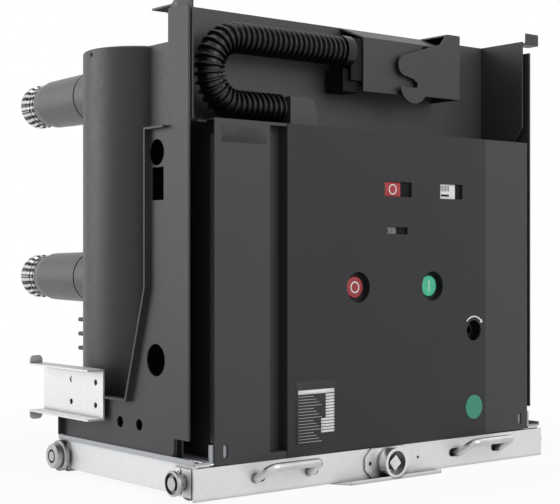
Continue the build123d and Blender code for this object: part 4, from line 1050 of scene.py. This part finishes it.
# ------------------------------------------------------- bearing screws, dark holes
class BREAKER_OT_fastenings(bpy.types.Operator):
    """Fit the screws of the front bearing plates and the dark discs that paint shade in the
    holes
    """
    bl_idname = "breaker.fastenings"
    bl_label = "Fastenings and linings"

    def execute(self, context):
        sizes = context.scene.breaker_sizes
        screw = self.pan_screw(sizes.screw_radius, sizes.screw_height)
        for side, label in ((-1, "left"), (1, "right")):
            self.bearing_screws(sizes, screw, side, label)
            self.hole_linings(side, label)
        discard(screw)
        self.plate_hole_shade()
        return {"FINISHED"}

    def pan_screw(self, radius, height):
        """Pan head with a round recess, facing the front, at the origin."""
        head = disc((0, -height / 2, 0), radius, height, sides=20)
        soften(head, height * HEAD_ROUNDING, segments=3)
        pick(head, lambda face: along(face, (0, -1, 0)) and face.area > CAP_LEAST_AREA)
        bpy.ops.mesh.inset(thickness=radius * RECESS_RIM)
        bpy.ops.mesh.extrude_region_move(
            TRANSFORM_OT_translate={"value": (0, RECESS_DEPTH, 0)})
        close_mesh()
        return head

    def bearing_screws(self, sizes, screw, side, label):
        """Two small screws behind the front roller, on its bearing plate."""
        low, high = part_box(f"truck_side_frame_{label}")
        face = low[0] if side < 0 else high[0]
        roller_low, roller_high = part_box(f"front_roller_{label}")
        axle_y = (roller_low[1] + roller_high[1]) / 2
        axle_z = (roller_low[2] + roller_high[2]) / 2
        heads = [copy_to(screw, (face, axle_y + sizes.screw_back, axle_z + rise), side * pi / 2)
                 for rise in (-sizes.screw_rise, sizes.screw_rise)]
        finish(join(heads), f"bearing_screws_{label}", "breaker",
               finishes["zinc"])

    def plate_hole_shade(self):
        """Dark disc in the small hole beside the boss, below the plate's face, painted shade."""
        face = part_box("truck_front_plate")[0][1]
        level = face_centre("racking_boss").z
        lining = disc((PLATE_HOLE_X, face + PLATE_HOLE_DEPTH, level),
                      PLATE_HOLE_RADIUS - SHADE_DISC_GAP, SHADE_DISC_THICK, sides=24)
        finish(lining, "plate_hole_lining", "breaker", finishes["lining"])

    def hole_linings(self, side, label):
        """Dark discs just inside the holes of a side plate, painted shade."""
        low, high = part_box(f"side_plate_{label}")
        inner = high[0] if side < 0 else low[0]
        middle = inner + side * SHADE_DISC_DEPTH
        shade_discs = []
        for reach, rise, radius in SIDE_HOLES:
            centre = (middle, low[1] + reach, low[2] + rise)
            shade_discs.append(disc(centre, radius - SHADE_DISC_GAP, SHADE_DISC_THICK, sides=40,
                                turn=SIDEWAYS))
        reach, rise, width, height = SIDE_SLOT
        centre = Vector((middle, low[1] + reach, low[2] + rise))
        half = Vector((SHADE_DISC_THICK, width, height)) / 2 - Vector((0, SHADE_DISC_GAP, SHADE_DISC_GAP))
        shade_discs.append(block(centre - half, centre + half, SHADE_DISC_THICK / 8))
        finish(join(shade_discs), f"hole_linings_{label}", "breaker",
               finishes["lining"])


# ------------------------------------------------------------------------- stage
class BREAKER_OT_stage(bpy.types.Operator):
    """Lay the pale floor, hang the studio lights and set the camera"""
    bl_idname = "breaker.stage"
    bl_label = "Stage"

    def execute(self, context):
        self.floor(context)
        self.world(context)
        for lamp in LAMPS:
            self.lamp(*lamp)
        self.camera(context)
        context.scene.view_settings.view_transform = "Standard"
        return {"FINISHED"}

    def floor(self, context):
        """Wide plain floor at the truck's own level."""
        clear()
        bpy.ops.mesh.primitive_plane_add(size=FLOOR_SIZE, location=(0, 0, 0))
        ground = settle(bpy.context.object)
        ground.name = "floor"
        ground.data.materials.append(
            plain_floor("floor_paint", context.scene.breaker_colours.floor))

    def world(self, context):
        """Soft light all round, in front of a background that is seen as white."""
        world = bpy.data.worlds.new("studio")
        world.use_nodes = True
        context.scene.world = world
        sky = NodeTree(world.node_tree)
        light = sky.add("Background", {"Color": SKY_TINT, "Strength": SKY_STRENGTH})
        seen = sky.add("Background", {"Color": WHITE, "Strength": 1.0})
        mix = sky.add("MixShader", {0: sky.seen_directly(), 1: light["Background"],
                                    2: seen["Background"]})
        sky.add("OutputWorld", {"Surface": mix["Shader"]})

    def lamp(self, name, place, target, size, power):
        """Square softbox at a place, aimed at a target."""
        clear()
        bpy.ops.object.light_add(type="AREA", location=place)
        lamp = bpy.context.object
        lamp.name = f"{name}_light"
        lamp.data.shape = "SQUARE"
        lamp.data.size = size
        lamp.data.energy = power
        aim = Vector(target) - Vector(place)
        lamp.rotation_euler = aim.to_track_quat("-Z", "Y").to_euler()

    def camera(self, context):
        """Level camera in front of the breaker's left corner."""
        clear()
        bpy.ops.object.camera_add(location=CAMERA_PLACE, rotation=(pi / 2, 0, CAMERA_TURN))
        camera = bpy.context.object
        camera.data.sensor_width = CAMERA_SENSOR
        camera.data.lens = CAMERA_LENS
        camera.data.shift_y = CAMERA_SHIFT
        camera.data.dof.use_dof = False
        context.scene.camera = camera


class BREAKER_PT_sidebar(bpy.types.Panel):
    """Lists the steps that dress the breaker"""
    bl_idname = "BREAKER_PT_sidebar"
    bl_label = "Circuit breaker"
    bl_space_type = "VIEW_3D"
    bl_region_type = "UI"
    bl_category = "Breaker"

    def draw(self, context):
        for step in STEPS:
            self.layout.operator(step.bl_idname)
        for group in (context.scene.breaker_sizes, context.scene.breaker_colours):
            for name in group.__annotations__:
                self.layout.prop(group, name)


STEPS = (BREAKER_OT_finishes, BREAKER_OT_conduit, BREAKER_OT_buttons, BREAKER_OT_indicators,
         BREAKER_OT_panel_marks, BREAKER_OT_pole_fins, BREAKER_OT_fastenings, BREAKER_OT_stage)
CLASSES = (BreakerSizes, BreakerColours) + STEPS + (BREAKER_PT_sidebar,)


def register():
    for item in CLASSES:
        bpy.utils.register_class(item)
    bpy.types.Scene.breaker_sizes = PointerProperty(type=BreakerSizes)
    bpy.types.Scene.breaker_colours = PointerProperty(type=BreakerColours)


def unregister():
    del bpy.types.Scene.breaker_sizes
    del bpy.types.Scene.breaker_colours
    for item in reversed(CLASSES):
        bpy.utils.unregister_class(item)


def main():
    register()
    bpy.ops.breaker.finishes()
    bpy.ops.breaker.conduit()
    bpy.ops.breaker.buttons()
    bpy.ops.breaker.indicators()
    bpy.ops.breaker.panel_marks()
    bpy.ops.breaker.pole_fins()
    bpy.ops.breaker.fastenings()
    bpy.ops.breaker.stage()


if __name__ == "__main__":
    main()
